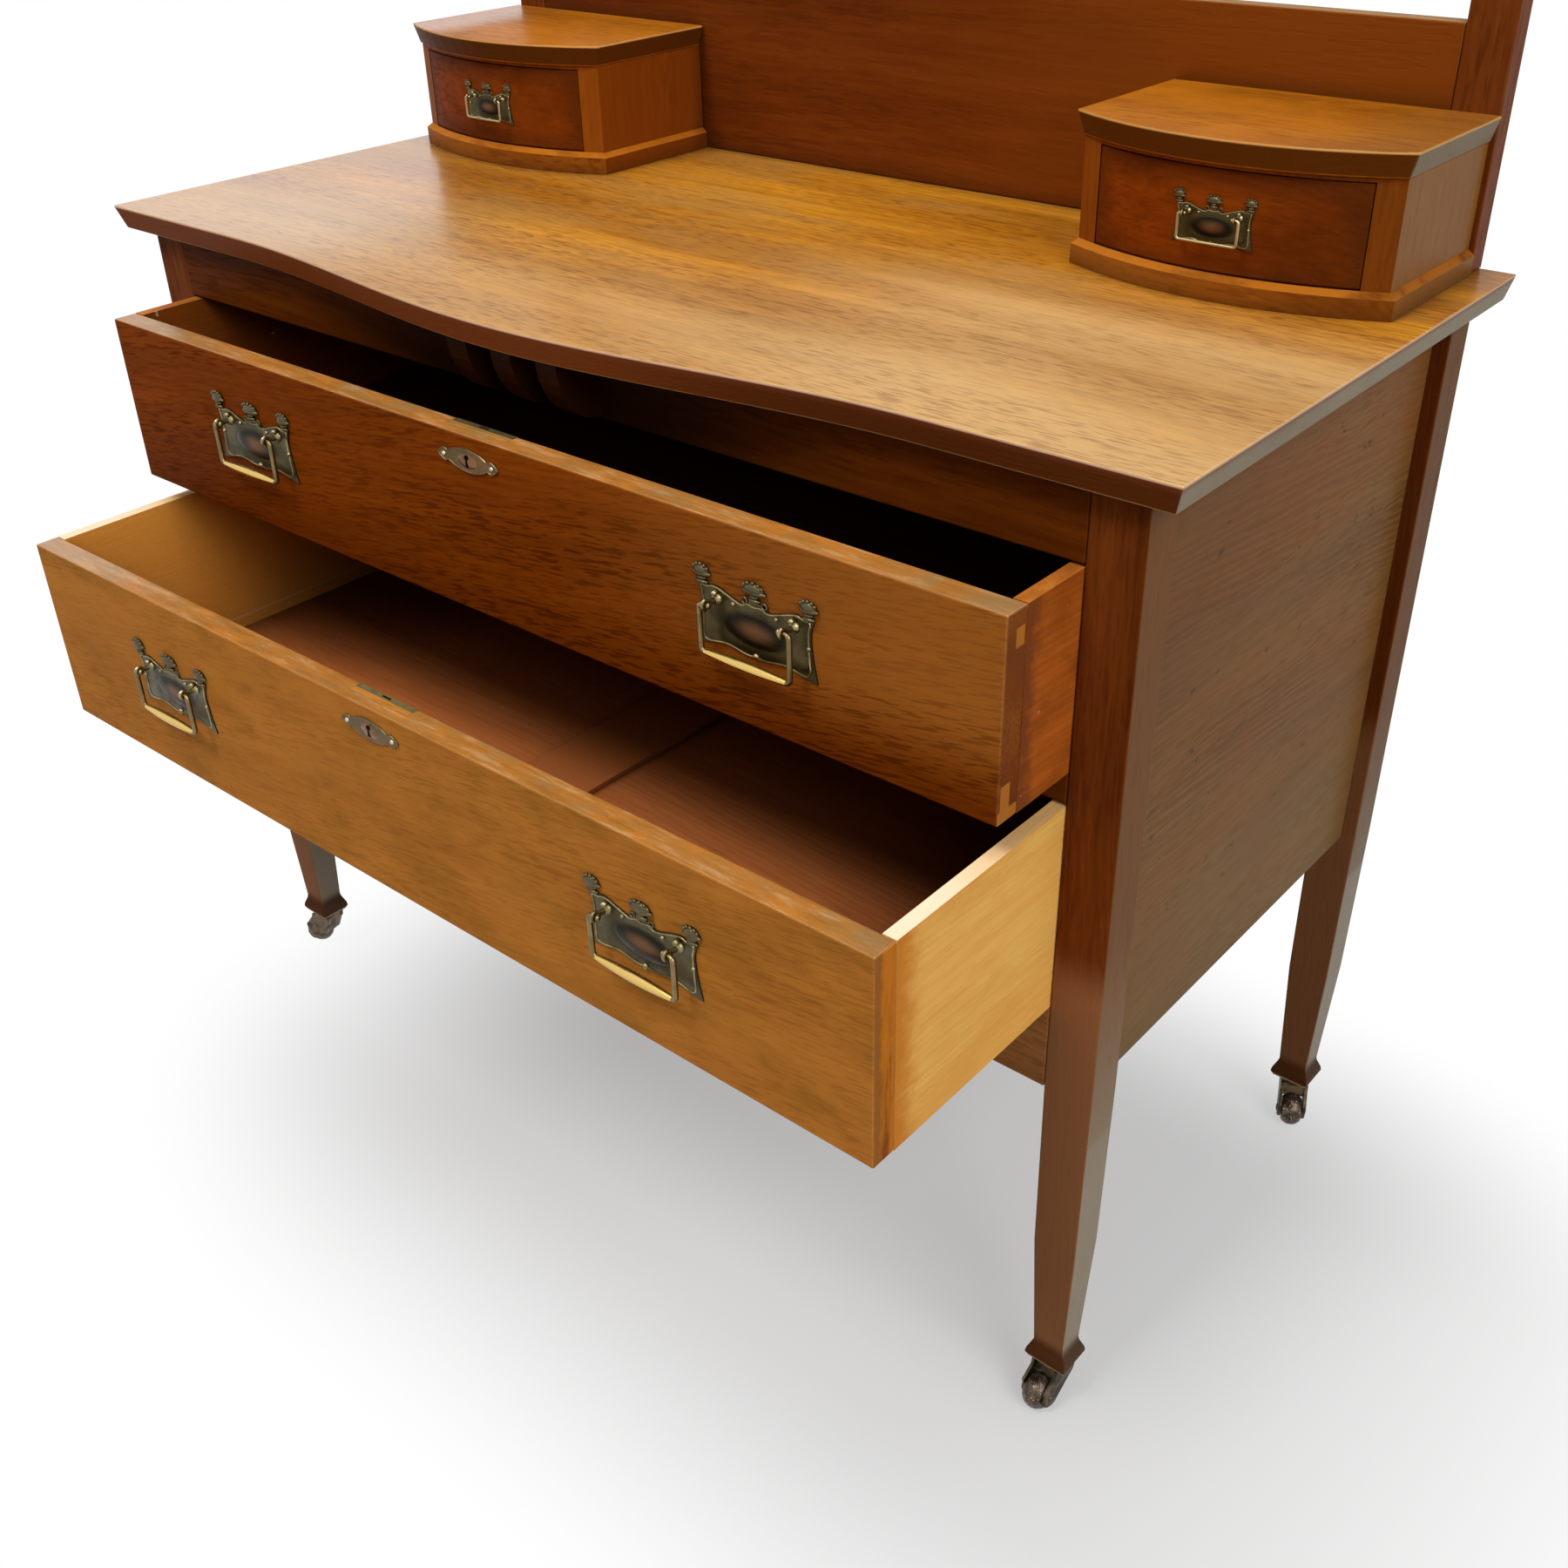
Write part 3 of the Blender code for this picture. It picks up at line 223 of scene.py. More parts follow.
class ChestFittings(bpy.types.PropertyGroup):
    """Sizes of the details on the fittings."""

    plate: length_value("Plate thickness", "Thickness of a handle plate's field", 0.0011)
    bead: length_value("Bead radius", "Radius of the bead round a handle plate", 0.0007)
    dish_half: length_value("Dish half width", "Half the width of the oval dish", 0.0290)
    dish_tall: length_value("Dish half height", "Half the height of the oval dish", 0.0125)
    dish_rise: length_value("Dish rise", "Height of the dish's middle", 0.0016)
    eye: length_value("Eye radius", "Radius of the eye that holds a bail", 0.0031)
    eye_wire: length_value("Eye wire", "Radius of the eye's wire", 0.0014)
    arm: length_value("Arm radius", "Radius of a bail's arms", 0.0021)
    grip: length_value("Grip radius", "Largest radius of a bail's grip", 0.0040)
    cheek: length_value("Cheek thickness", "Thickness of a castor's cheeks", 0.0028)
    glass_bevel: length_value("Glass bevel", "Width of the mirror glass's bevel", 0.016)


class ChestStage(bpy.types.PropertyGroup):
    """Floor, light and camera."""

    floor: colour_value("Floor", "Colour of the floor", (0.98, 0.98, 0.98))
    bounce: colour_value("Bounce", "Colour of the light that the floor sends back", (0.32, 0.32, 0.32))
    shadow: share_value("Shadow", "Share of the lamps' shadow that shows on the white floor", 0.40)
    shade: share_value("Shade", "Depth of the soft shade round the chest", 0.40)
    daylight: share_value("Room light", "Strength of the even light from all round", 0.22)
    overhead: power_value("Overhead", "Power of the lamp above", 140.0)
    side: power_value("Side", "Power of the lamp at the right", 255.0)
    front: power_value("Front", "Power of the lamp at the front", 215.0)
    camera_place: FloatVectorProperty(name="Camera place", description="Where the camera stands",
                                      subtype="TRANSLATION", unit="LENGTH", size=3,
                                      default=(0.9300, -0.9346, 1.1862))
    camera_turn: FloatVectorProperty(name="Camera turn", description="How the camera is turned",
                                     subtype="EULER", unit="ROTATION", size=3,
                                     default=[math.radians(turn) for turn in (57.500, 1.324, 40.377)])
    lens: FloatProperty(name="Lens", description="Focal length in millimetres", unit="CAMERA",
                        default=38.722)


class Link:
    """A shader socket in a Python expression: each operation on it adds one Math node."""

    def __init__(self, finish, socket):
        self.finish = finish
        self.socket = socket

    def math(self, operation, other=0.0, swapped=False):
        first, second = (other, self) if swapped else (self, other)
        return self.finish.node("ShaderNodeMath", {"operation": operation}, {0: first, 1: second})

    def __add__(self, other):
        return self.math("ADD", other)

    def __radd__(self, other):
        return self.math("ADD", other)

    def __sub__(self, other):
        return self.math("SUBTRACT", other)

    def __rsub__(self, other):
        return self.math("SUBTRACT", other, True)

    def __mul__(self, other):
        return self.math("MULTIPLY", other)

    def __rmul__(self, other):
        return self.math("MULTIPLY", other)

    def __abs__(self):
        return self.math("ABSOLUTE")

    def greater(self, other):
        return self.math("MAXIMUM", other)

    def root(self):
        return self.math("SQRT")

    def fade(self, start, end):
        """0 at start and 1 at end, smooth between them."""
        return self.finish.node("ShaderNodeMapRange", {"interpolation_type": "SMOOTHSTEP"},
                                {"Value": self, "From Min": start, "From Max": end})

    def between(self, low, high, soft):
        """1 between two values, with soft edges."""
        return self.fade(low - soft, low + soft) * self.fade(high + soft, high - soft)


class Finish:
    """A material or world in the making, with the nodes that all finishes use."""

    MAIN = ("BSDF_PRINCIPLED", "BACKGROUND")
    SOCKETS = {"ior_level": "Specular IOR Level", "coat_ior": "Coat IOR"}

    def __init__(self, name, holder=None):
        self.holder = holder or bpy.data.materials.new(name)
        self.holder.use_nodes = True
        self.tree = self.holder.node_tree
        self.shader = next(node for node in self.tree.nodes if node.type in self.MAIN)
        self.spot = self.node("ShaderNodeTexCoord", output="Object")
        self.xyz = self.split(self.spot)
        turned = {"vector_type": "NORMAL", "convert_from": "WORLD", "convert_to": "OBJECT"}
        flat = self.node("ShaderNodeNewGeometry", output="True Normal")
        self.facing = self.split(self.node("ShaderNodeVectorTransform", turned, {0: flat}))

    def put(self, socket, value):
        if isinstance(value, Link):
            self.tree.links.new(value.socket, socket)
        elif socket.type == "RGBA":
            socket.default_value = (*value, 1.0)
        else:
            socket.default_value = value

    def node(self, kind, settings=None, values=None, output=0):
        """Adds a node: its settings first, then its sockets' values or links."""
        node = self.tree.nodes.new(kind)
        for key, value in (settings or {}).items():
            if key == "stops":
                ramp = node.color_ramp
                while len(ramp.elements) < len(value):
                    ramp.elements.new(0.5)
                for element, (place, tone) in zip(ramp.elements, value):
                    element.position = place
                    element.color = (*tone, 1.0)
            else:
                setattr(node, key, value)
        for key, value in (values or {}).items():
            self.put(node.inputs[key], value)
        return Link(self, node.outputs[output])

    def split(self, vector):
        first = self.node("ShaderNodeSeparateXYZ", values={0: vector})
        return [Link(self, socket) for socket in first.socket.node.outputs]

    def join(self, x, y, z):
        return self.node("ShaderNodeCombineXYZ", values={0: x, 1: y, 2: z})

    def vector(self, operation, first, second):
        return self.node("ShaderNodeVectorMath", {"operation": operation}, {0: first, 1: second})

    def noise(self, place, scales, detail=2.0, roughness=0.5):
        """Noise over a place, with one scale for all axes or one for each."""
        scales = scales if isinstance(scales, tuple) else (scales,) * 3
        return self.node("ShaderNodeTexNoise",
                         values={"Vector": self.vector("MULTIPLY", place, scales), "Scale": 1.0,
                                 "Detail": detail, "Roughness": roughness})

    def mix(self, share, first, second, blend="MIX"):
        return self.node("ShaderNodeMix", {"data_type": "RGBA", "blend_type": blend},
                         {0: share, 6: first, 7: second}, output=2)

    def ramp(self, value, stops):
        return self.node("ShaderNodeValToRGB", {"stops": stops}, {0: value})

    def bump(self, height, depth, strength):
        return self.node("ShaderNodeBump",
                         values={"Strength": strength, "Distance": depth, "Height": height})

    def seen(self):
        """1 for what the camera sees, also in polish, metal and glass."""
        kinds = ("Is Camera Ray", "Is Glossy Ray", "Is Transmission Ray")
        camera, glossy, through = (self.node("ShaderNodeLightPath", output=kind) for kind in kinds)
        return camera.greater(glossy).greater(through)

    def set(self, **values):
        """Sets the main shader's sockets, named in lower case with underscores."""
        for key, value in values.items():
            self.put(self.shader.inputs[self.SOCKETS.get(key, key.replace("_", " ").title())], value)


def scaled(tone, *factors):
    """A colour times one factor, or one for each channel."""
    factors = factors * 3 if len(factors) == 1 else factors
    return tuple(min(1.0, channel * factor) for channel, factor in zip(tone, factors))


def on_ends(wood):
    """Mask of the faces that look to the left or right."""
    return abs(wood.facing[0]).fade(0.6, 0.8)


def on_top(wood):
    """Mask of the faces that look up."""
    return wood.facing[2].fade(0.75, 0.9)


class Wood(Finish):
    """A board: streaks, clouds and fibres along its grain, dark pores, worn edges and stains."""

    AXES = {"X": (0, 1, 2), "Y": (1, 0, 2), "Z": (2, 0, 1)}

    def __init__(self, name, looks, tone, along="X", turns=(), contrast=1.0, pores=0.4, grit=1.0,
                 figure=0.25, lean=0.0):
        super().__init__(name)
        self.looks = looks
        length, depth, height = (self.xyz[i] for i in self.AXES[along])
        grain = self.join(length, depth, height - length * lean)
        for mask, axis in turns:
            across = self.join(*(self.xyz[i] for i in self.AXES[axis]))
            grain = self.node("ShaderNodeMix", {"data_type": "VECTOR"},
                              {0: mask(self), 4: grain, 5: across}, output=1)
        sway = (self.noise(grain, (2.1, 5.0, 5.0)) - 0.5) * looks.sway
        self.grain = self.vector("ADD", grain, self.join(0.0, sway, sway * 0.6))
        self.streak = self.noise(self.grain, (1.3, 16.0, 16.0), 6.0, 0.62)
        self.cloud = self.noise(self.grain, (3.4, 9.0, 9.0), 3.0)
        self.fibre = self.noise(self.grain, (7.0, 140.0, 140.0), 5.0, 0.72)
        thin = 290.0 * grit
        dash = self.noise(self.grain, (36.0 * math.sqrt(grit), thin, thin), 1.0).fade(0.50, 0.64)
        self.pore = dash * (self.noise(self.grain, (3.0, 22.0, 22.0), 2.0).fade(0.32, 0.62) * 0.7 + 0.3)
        level = (self.streak - 0.5) * (1.3 * contrast) + (self.cloud - 0.5) * (0.6 * contrast)
        level = level + (self.fibre - 0.5) * (1.1 * contrast) + 0.5
        self.colour = self.ramp(level, [(0.0, scaled(tone, 0.42, 0.34, 0.26)), (0.5, tuple(tone)),
                                        (1.0, scaled(tone, 1.55, 1.75, 2.1))])
        self.tint(self.pore * pores, scaled(tone, 0.36, 0.26, 0.22))
        fine = self.vector("MULTIPLY", self.grain, (7.0, 100.0, 100.0))
        lines = self.node("ShaderNodeTexWave", {"bands_direction": "DIAGONAL"},
                          {"Vector": fine, "Scale": 1.0, "Distortion": 9.0, "Detail": 2.0,
                           "Detail Scale": 0.6}, output="Fac")
        patch = self.noise(self.grain, (2.2, 8.0, 8.0), 2.0).fade(0.42, 0.62)
        self.tint(lines * patch * figure, scaled(tone, 0.50, 0.44, 0.40))
        self.rough = (self.streak - 0.5) * 0.12 + self.pore * 0.12
        self.height = self.fibre * 0.6 - self.pore * 0.8

    def tint(self, mask, tone, blend="MIX"):
        """Lays a colour over the board where the mask says."""
        self.colour = self.mix(mask, self.colour, tuple(tone), blend)
        return self

    def cap(self, tone, mask=on_top, amount=0.85):
        """Gives other faces their own colour, with the board's streaks left in it."""
        return self.tint(mask(self) * (self.streak.fade(0.2, 0.6) * 0.25 + (amount - 0.25)), tone)

    def flecks(self, amount, shade=(0.42, 0.32, 0.26)):
        """Darkens the pores again, over the colours laid on the board."""
        return self.tint(self.pore * amount, shade, "MULTIPLY")

    def bands(self, tone, amount=0.8, scales=(0.7, 9.0, 9.0)):
        """Long bands of a second colour."""
        return self.tint(self.noise(self.grain, scales, 4.0, 0.55).fade(0.44, 0.62) * amount, tone)

    def wear(self, tone, amount=0.8, level=False, rise=-0.35):
        """Rubs the polish off the rounded edges, found by the slope of their narrow faces."""
        x, y, z = (abs(part) for part in self.facing)
        around = (x * x + y * y).root() if level else x.greater(y)
        edge = (1.0 - around.greater(z)).fade(0.05, 0.18) * self.facing[2].fade(rise, rise + 0.25)
        worn = edge * self.noise(self.spot, 24.0, 4.0, 0.6).fade(0.32, 0.56) * amount
        self.rough = self.rough + worn * 0.15
        return self.tint(worn, tone)

    def mottle(self, tone, amount, scales=(7.0, 7.0, 12.0)):
        """Soft patches of another colour that do not follow the grain."""
        return self.tint(self.noise(self.spot, scales, 5.0, 0.62).fade(0.42, 0.68) * amount, tone)

    def marks(self, tone, amount, scales, start=0.70):
        """Small marks here and there."""
        return self.tint(self.noise(self.spot, scales, 3.0, 0.6).fade(start, start + 0.05) * amount, tone)

    def paint_corner_shade(self, amount=0.6, reach=0.03, start=0.85, full=0.40):
        """Paints shade into the corners and recesses that ambient occlusion finds; the amount may be a
        mask.
        """
        clear = self.node("ShaderNodeAmbientOcclusion", {"samples": 12}, {"Distance": reach}, output="AO")
        return self.tint(clear.fade(start, full) * amount, self.looks.dirt_and_shade)

    def frame(self, low, high, reach, amount):
        """Darkens a front towards its borders."""
        x, z = abs(self.xyz[0]), self.xyz[2]
        ragged = (self.cloud - 0.5) * (reach * 0.8)
        inside = (x + ragged).between(low.x + reach / 2, high.x - reach / 2, reach / 2)
        inside = inside * (z + ragged).between(low.z + reach / 2, high.z - reach / 2, reach / 2)
        return self.tint((1.0 - inside) * amount, self.looks.dirt_and_shade)

    def polish(self, roughness, ior_level, sheen=0.0, glaze=0.0, blur=0.3):
        """Finishes the board, with varnish on its sideways faces and on its upper faces where given."""
        self.set(base_color=self.colour, roughness=self.rough + roughness, ior_level=ior_level,
                 normal=self.bump(self.height, 0.0004, 0.3))
        if sheen or glaze:
            self.set(coat_weight=on_ends(self) * sheen + on_top(self) * glaze, coat_roughness=blur,
                     coat_ior=2.0)
        return self


def on_walls(wood):
    """Mask of the faces that look neither up nor down."""
    return abs(wood.facing[2]).fade(0.6, 0.4)


def both(piece):
    """The names of the left and the right one of a pair."""
    return [side + piece for side in SIDES]


def give(finish, *nodes):
    """Puts a finish on solids of the frame."""
    for node in nodes:
        mesh = NODES[node].data
        mesh.materials.clear()
        mesh.materials.append(finish.holder)


def add_piece(name, casting, placing, finishes, body, node):
    """Adds a casting in place of a solid, on the body that it moves with."""
    mesh = casting.mesh(name, placing)
    piece = bpy.data.objects.new(name, mesh)
    bpy.context.scene.collection.objects.link(piece)
    for finish in finishes:
        mesh.materials.append(finish.holder)
    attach(piece, body)
    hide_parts(node)
    return piece


def rounded(half, steps):
    """The whole outline from its right half, smooth but for its sharp corners."""
    points = list(half) + [(-u, v, sharp) for u, v, sharp in reversed(half[1:-1])]
    outline = []
    count = len(points)
    for i in range(count):
        before, start, end, after = (Vector(points[(i + k) % count][:2]) for k in (-1, 0, 1, 2))
        leave = (end - start) if points[i][2] else (end - before) / 2
        arrive = (end - start) if points[(i + 1) % count][2] else (after - start) / 2
        for k in range(steps):
            t = k / steps
            place = start * (2 * t ** 3 - 3 * t ** 2 + 1) + leave * (t ** 3 - 2 * t ** 2 + t)
            outline.append(place + end * (3 * t ** 2 - 2 * t ** 3) + arrive * (t ** 3 - t ** 2))
    return outline


def circle(radius, steps):
    """Points round a circle."""
    turns = [2 * math.pi * i / steps for i in range(steps)]
    return [Vector((radius * math.cos(turn), radius * math.sin(turn))) for turn in turns]


class Casting:
    """Shapes of one fitting, gathered in one mesh: x to the right, y up and z out of its seat."""

    def __init__(self):
        self.bm = bmesh.new()

    def paint(self, faces, finish):
        for face in faces:
            face.material_index = finish

    def ball(self, place, radii, finish=0, steps=12):
        shape = Matrix.Translation(place) @ Matrix.Diagonal((*radii, 1.0))
        made = bmesh.ops.create_uvsphere(self.bm, u_segments=steps, v_segments=steps // 2 + 1, radius=1.0,
                                         matrix=shape)
        self.paint({face for vertex in made["verts"] for face in vertex.link_faces}, finish)

    def bands(self, rings, finish=0, closed=False):
        """Joins rings of points with faces, and fills the two ends unless the rings close up."""
        bm = self.bm
        rows = [[bm.verts.new(point) for point in ring] for ring in rings]
        faces = []
        for low, high in zip(rows, rows[1:] + rows[:1] if closed else rows[1:]):
            for i in range(len(low)):
                k = (i + 1) % len(low)
                faces.append(bm.faces.new((low[i], low[k], high[k], high[i])))
        if not closed:
            faces += [bm.faces.new(rows[0][::-1]), bm.faces.new(rows[-1])]
        self.paint(faces, finish)
        return faces

    def turned(self, profile, placing=Matrix(), finish=0, steps=20, closed=False):
        """A solid turned about its z axis from (radius, height) points."""
        rings = [[placing @ Vector((*spot, height)) for spot in circle(radius, steps)]
                 for radius, height in profile]
        return self.bands(rings, finish, closed)

    def tube(self, points, finish=0, sides=8, closed=False):
        """A round rod or ring through (place, radius) points."""
        places = [Vector(place) for place, radius in points]
        count = len(places)
        side = None
        rings = []
        for i, (place, radius) in enumerate(points):
            if closed:
                along = places[(i + 1) % count] - places[i - 1]
            else:
                along = places[min(i + 1, count - 1)] - places[max(i - 1, 0)]
            along.normalize()
            side = along.orthogonal() if side is None else side
            side = (side - along * side.dot(along)).normalized()
            other = along.cross(side)
            rings.append([places[i] + side * spot.x + other * spot.y for spot in circle(radius, sides)])
        return self.bands(rings, finish, closed)

    def hoop(self, place, radius, wire, axis, finish=0):
        """A ring of round wire about an axis."""
        turn = Matrix.Translation(place) @ Vector(axis).to_track_quat("Z", "Y").to_matrix().to_4x4()
        self.tube([(turn @ spot.to_3d(), wire) for spot in circle(radius, 16)], finish, 8, True)

    def slab(self, outline, low, high, finish=0):
        """A flat plate of that outline; hands back its upper face."""
        return self.bands([[(u, v, w) for u, v in outline] for w in (low, high)], finish)[-1]

    def block(self, low, high, finish=0):
        """A plain block between two corners."""
        outline = [(low[0], low[1]), (high[0], low[1]), (high[0], high[1]), (low[0], high[1])]
        return self.slab(outline, low[2], high[2], finish)

    def step(self, face, width, rise, finish=0):
        """Insets a face and lifts it, which leaves a band round it."""
        made = bmesh.ops.inset_region(self.bm, faces=[face], thickness=width, depth=rise,
                                      use_even_offset=True, use_boundary=True)
        self.paint(made["faces"], finish)

    def bend(self, radius, half, steps=10):
        """Bends the casting round a bowed front."""
        bm = self.bm
        bmesh.ops.triangulate(bm, faces=[face for face in bm.faces if len(face.verts) > 4])
        for i in range(1, steps):
            cut = (half * (2 * i / steps - 1), 0, 0)
            bmesh.ops.bisect_plane(bm, geom=bm.verts[:] + bm.edges[:] + bm.faces[:], plane_co=cut,
                                   plane_no=(1, 0, 0))
        for vertex in bm.verts:
            vertex.co.z -= radius - math.sqrt(radius ** 2 - vertex.co.x ** 2)

    def mesh(self, name, placing=Matrix()):
        bm = self.bm
        bmesh.ops.transform(bm, matrix=placing, verts=bm.verts[:])
        bmesh.ops.recalc_face_normals(bm, faces=bm.faces[:])
        mesh = bpy.data.meshes.new(name)
        bm.to_mesh(mesh)
        bm.free()
        mesh.shade_smooth()
        mesh.set_sharp_from_angle(angle=SMOOTH_ANGLE)
        return mesh


def on_front(x, face, z, scale=1.0):
    """Placing of a fitting on a drawer front: right is +X, up is +Z and out is -Y."""
    axes = Matrix(((1, 0, 0), (0, 0, -1), (0, 1, 0))).to_4x4()
    return Matrix.Translation((x, face, z)) @ axes @ Matrix.Scale(scale, 4)


def bow_of(node):
    """Radius of a bowed front, from the points of its solid."""
    low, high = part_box(node)
    half = (high.x - low.x) / 2
    ends = [vertex.co.y for vertex in NODES[node].data.vertices if vertex.co.x < low.x + 0.003]
    rise = min(ends) - low.y
    return (half ** 2 + rise ** 2) / (2 * rise)


def handles():
    """The six handles, with the middles of their axes."""
    found = []
    for drawer in LONG_DRAWERS:
        for side in SIDES:
            name = f"{drawer}_{side}"
            axis = Vector(JOINTS[name + "_bail_swing"]["pos_m"])
            found.append(Handle(name, drawer, axis, 1.0, BAIL_DROP, None))
    for side in SIDES:
        name = side + "_trinket"
        axis = Vector(JOINTS[name + "_bail_swing"]["pos_m"])
        bow = bow_of(name + "_drawer_front") / TRINKET_SCALE
        found.append(Handle(name, name + "_drawer", axis, TRINKET_SCALE, TRINKET_DROP, bow))
    return found


def metal(name, tone, dull, roughness=0.3, spots=0.6, under=None):
    """A fitting's metal, darker where it is tarnished, with painted shade on its lower faces where an
    under colour is given.
    """
    finish = Finish(name)
    broad = finish.noise(finish.spot, 75.0, 4.0, 0.6)
    fine = finish.noise(finish.spot, 900.0, 2.0)
    tarnish = broad.fade(0.40, 0.62) * spots
    colour = finish.mix(tarnish, tuple(tone), tuple(dull))
    # Painted shade on the faces that look down.
    if under:
        colour = finish.mix(finish.facing[2].fade(0.5, -0.6), colour, tuple(under))
    rough = tarnish * 0.2 + fine * 0.12 + (roughness - 0.06)
    finish.set(base_color=colour, metallic=1.0, roughness=rough,
               normal=finish.bump(broad * 0.8 + fine * 0.2, 0.0004, 0.25))
    return finish


class CHEST_OT_top(bpy.types.Operator):
    """Polish the top board, with its rubbed front arris and end grain, a painted sheen and a painted
    highlight
    """

    bl_idname = "chest.top"
    bl_label = "Top board"

    def execute(self, context):
        looks = context.scene.chest_woods
        wood = Wood("top_oak", looks, looks.top, contrast=1.0, pores=0.4, grit=1.9, figure=0.5)
        wood.bands(looks.top_band, 0.6, (1.4, 11.0, 11.0))
        wood.mottle(looks.top_dust, 0.5, (5.0, 14.0, 14.0))
        x, y, z = wood.xyz
        # Painted sheen along the front and at the right of the top.
        painted_sheen = (x.fade(0.0, 0.32) * y.fade(0.18, 0.04)).greater(y.fade(0.06, -0.12) * 0.65)
        wood.tint(painted_sheen * (wood.streak.fade(0.30, 0.62) * 0.30 + 0.42), looks.top_sheen)
        wood.flecks(0.5)
        wood.cap(looks.top_edge, on_walls, 1.2)
        wood.tint(on_walls(wood) * x.fade(0.05, 0.25) * 0.6, scaled(looks.top_edge, 0.35))
        # End grain with a painted grey sheen.
        wood.cap(looks.end_grain_and_sheen, on_ends)
        wood.marks(looks.top_arris_and_highlight, 0.5, (60.0, 300.0, 300.0), 0.75)
        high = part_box("top_board")[1].z
        wood.tint(on_walls(wood) * z.fade(high - 0.0070, high - 0.0030) * 0.5, looks.worn_red)
        # Painted highlight: a thin pale line along the top of the front edge, with the rubbed arris.
        wood.tint(on_walls(wood) * z.fade(high - 0.0022, high - 0.0012) * 0.8, looks.top_arris_and_highlight)
        wood.wear(looks.top_arris_and_highlight, 1.0, level=True, rise=0.05)
        # Painted shade in the corners of the top.
        wood.paint_corner_shade(0.4)
        kept = x.fade(-0.12, -0.36) * 0.75 + 0.25
        give(wood.polish(0.40, 0.02, glaze=kept, blur=0.24), "top_board")
        return {"FINISHED"}


class CHEST_OT_case(bpy.types.Operator):
    """Finish the legs, side panels, rails and the boards inside"""

    bl_idname = "chest.case"
    bl_label = "Case"

    def execute(self, context):
        looks = context.scene.chest_woods
        legs = Wood("leg_oak", looks, looks.post, "Z", contrast=0.8)
        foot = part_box("front_right_leg")[0].z
        high = legs.xyz[2]
        # Painted light on the legs below the drawers.
        lit_low = high.fade(0.475, 0.430)
        # Painted sheen: a greyer colour on the legs' sideways faces.
        legs.tint(on_ends(legs) * 0.75, looks.leg_side_and_sheen)
        legs.tint(lit_low * (0.8 - on_ends(legs) * 0.6), looks.lit_ankle)
        # Painted sheen on the lower sides of the legs.
        legs.tint(high.fade(0.52, 0.22) * on_ends(legs) * 0.75, looks.end_grain_and_sheen)
        legs.tint(legs.xyz[1].fade(0.1, 0.2) * 0.3, looks.dirt_and_shade)
        legs.wear(looks.worn_red, 0.9)
        legs.tint(high.fade(foot + 0.030, foot + 0.016) * 0.85, looks.dirt_and_shade)
        legs.tint(high.fade(foot + 0.0045, foot + 0.0030) * 0.9, looks.worn)
        sheen = high.between(foot + 0.022, 0.30, 0.006) * 0.2 + 0.05
        give(legs.polish(0.42, 0.02, sheen), *(corner + "_leg" for corner in CORNERS))
        panel = Wood("panel_oak", looks, looks.panel, "Y", contrast=0.6, pores=0.3, grit=1.8, figure=0.7)
        panel.bands(scaled(looks.panel, 1.12, 0.84, 0.8), 0.45, (1.6, 16.0, 16.0))
        panel.mottle(scaled(looks.panel, 1.08, 0.76, 0.72), 0.5, (6.0, 6.0, 7.0))
        x, y, z = panel.xyz
        corner = y.fade(0.14, -0.08) * z.fade(0.52, 0.76)
        panel.tint(corner * 0.5, scaled(looks.panel, 0.75, 0.60, 0.60))
        panel.marks(scaled(looks.panel, 0.3), 0.7, (55.0, 55.0, 80.0), 0.67)
        panel.tint(z.fade(0.60, 0.32) * 0.4, scaled(looks.panel, 1.0, 1.45, 2.2))
        give(panel.polish(0.48, 0.02, 0.07), *both("_side_panel"))
        # A colour darkened as painted shade, a painted shadow under the middle of the top where its bow
        # overhangs most, and painted shade in the corners.
        frieze = Wood("frieze_oak", looks, looks.frieze, contrast=0.8)
        frieze.wear(looks.worn_red, 0.5)
        frieze.tint(abs(frieze.xyz[0]).fade(0.34, 0.10) * 0.9, scaled(looks.dirt_and_shade, 0.3))
        frieze.paint_corner_shade(0.5)
        give(frieze.polish(0.45, 0.02), "frieze_rail", "frieze_bracket", "drawer_rail")
        rail = Wood("rail_oak", looks, looks.rail, contrast=0.8)
        rail.wear(looks.worn_red, 0.7)
        give(rail.polish(0.45, 0.02), "bottom_rail")
        board = Wood("board_wood", looks, scaled(looks.bottom, 0.65, 0.75, 0.8), contrast=0.9)
        give(board.polish(0.6, 0.1), "upper_dust_board", "lower_dust_board", "back_panel", "mirror_back")
        return {"FINISHED"}


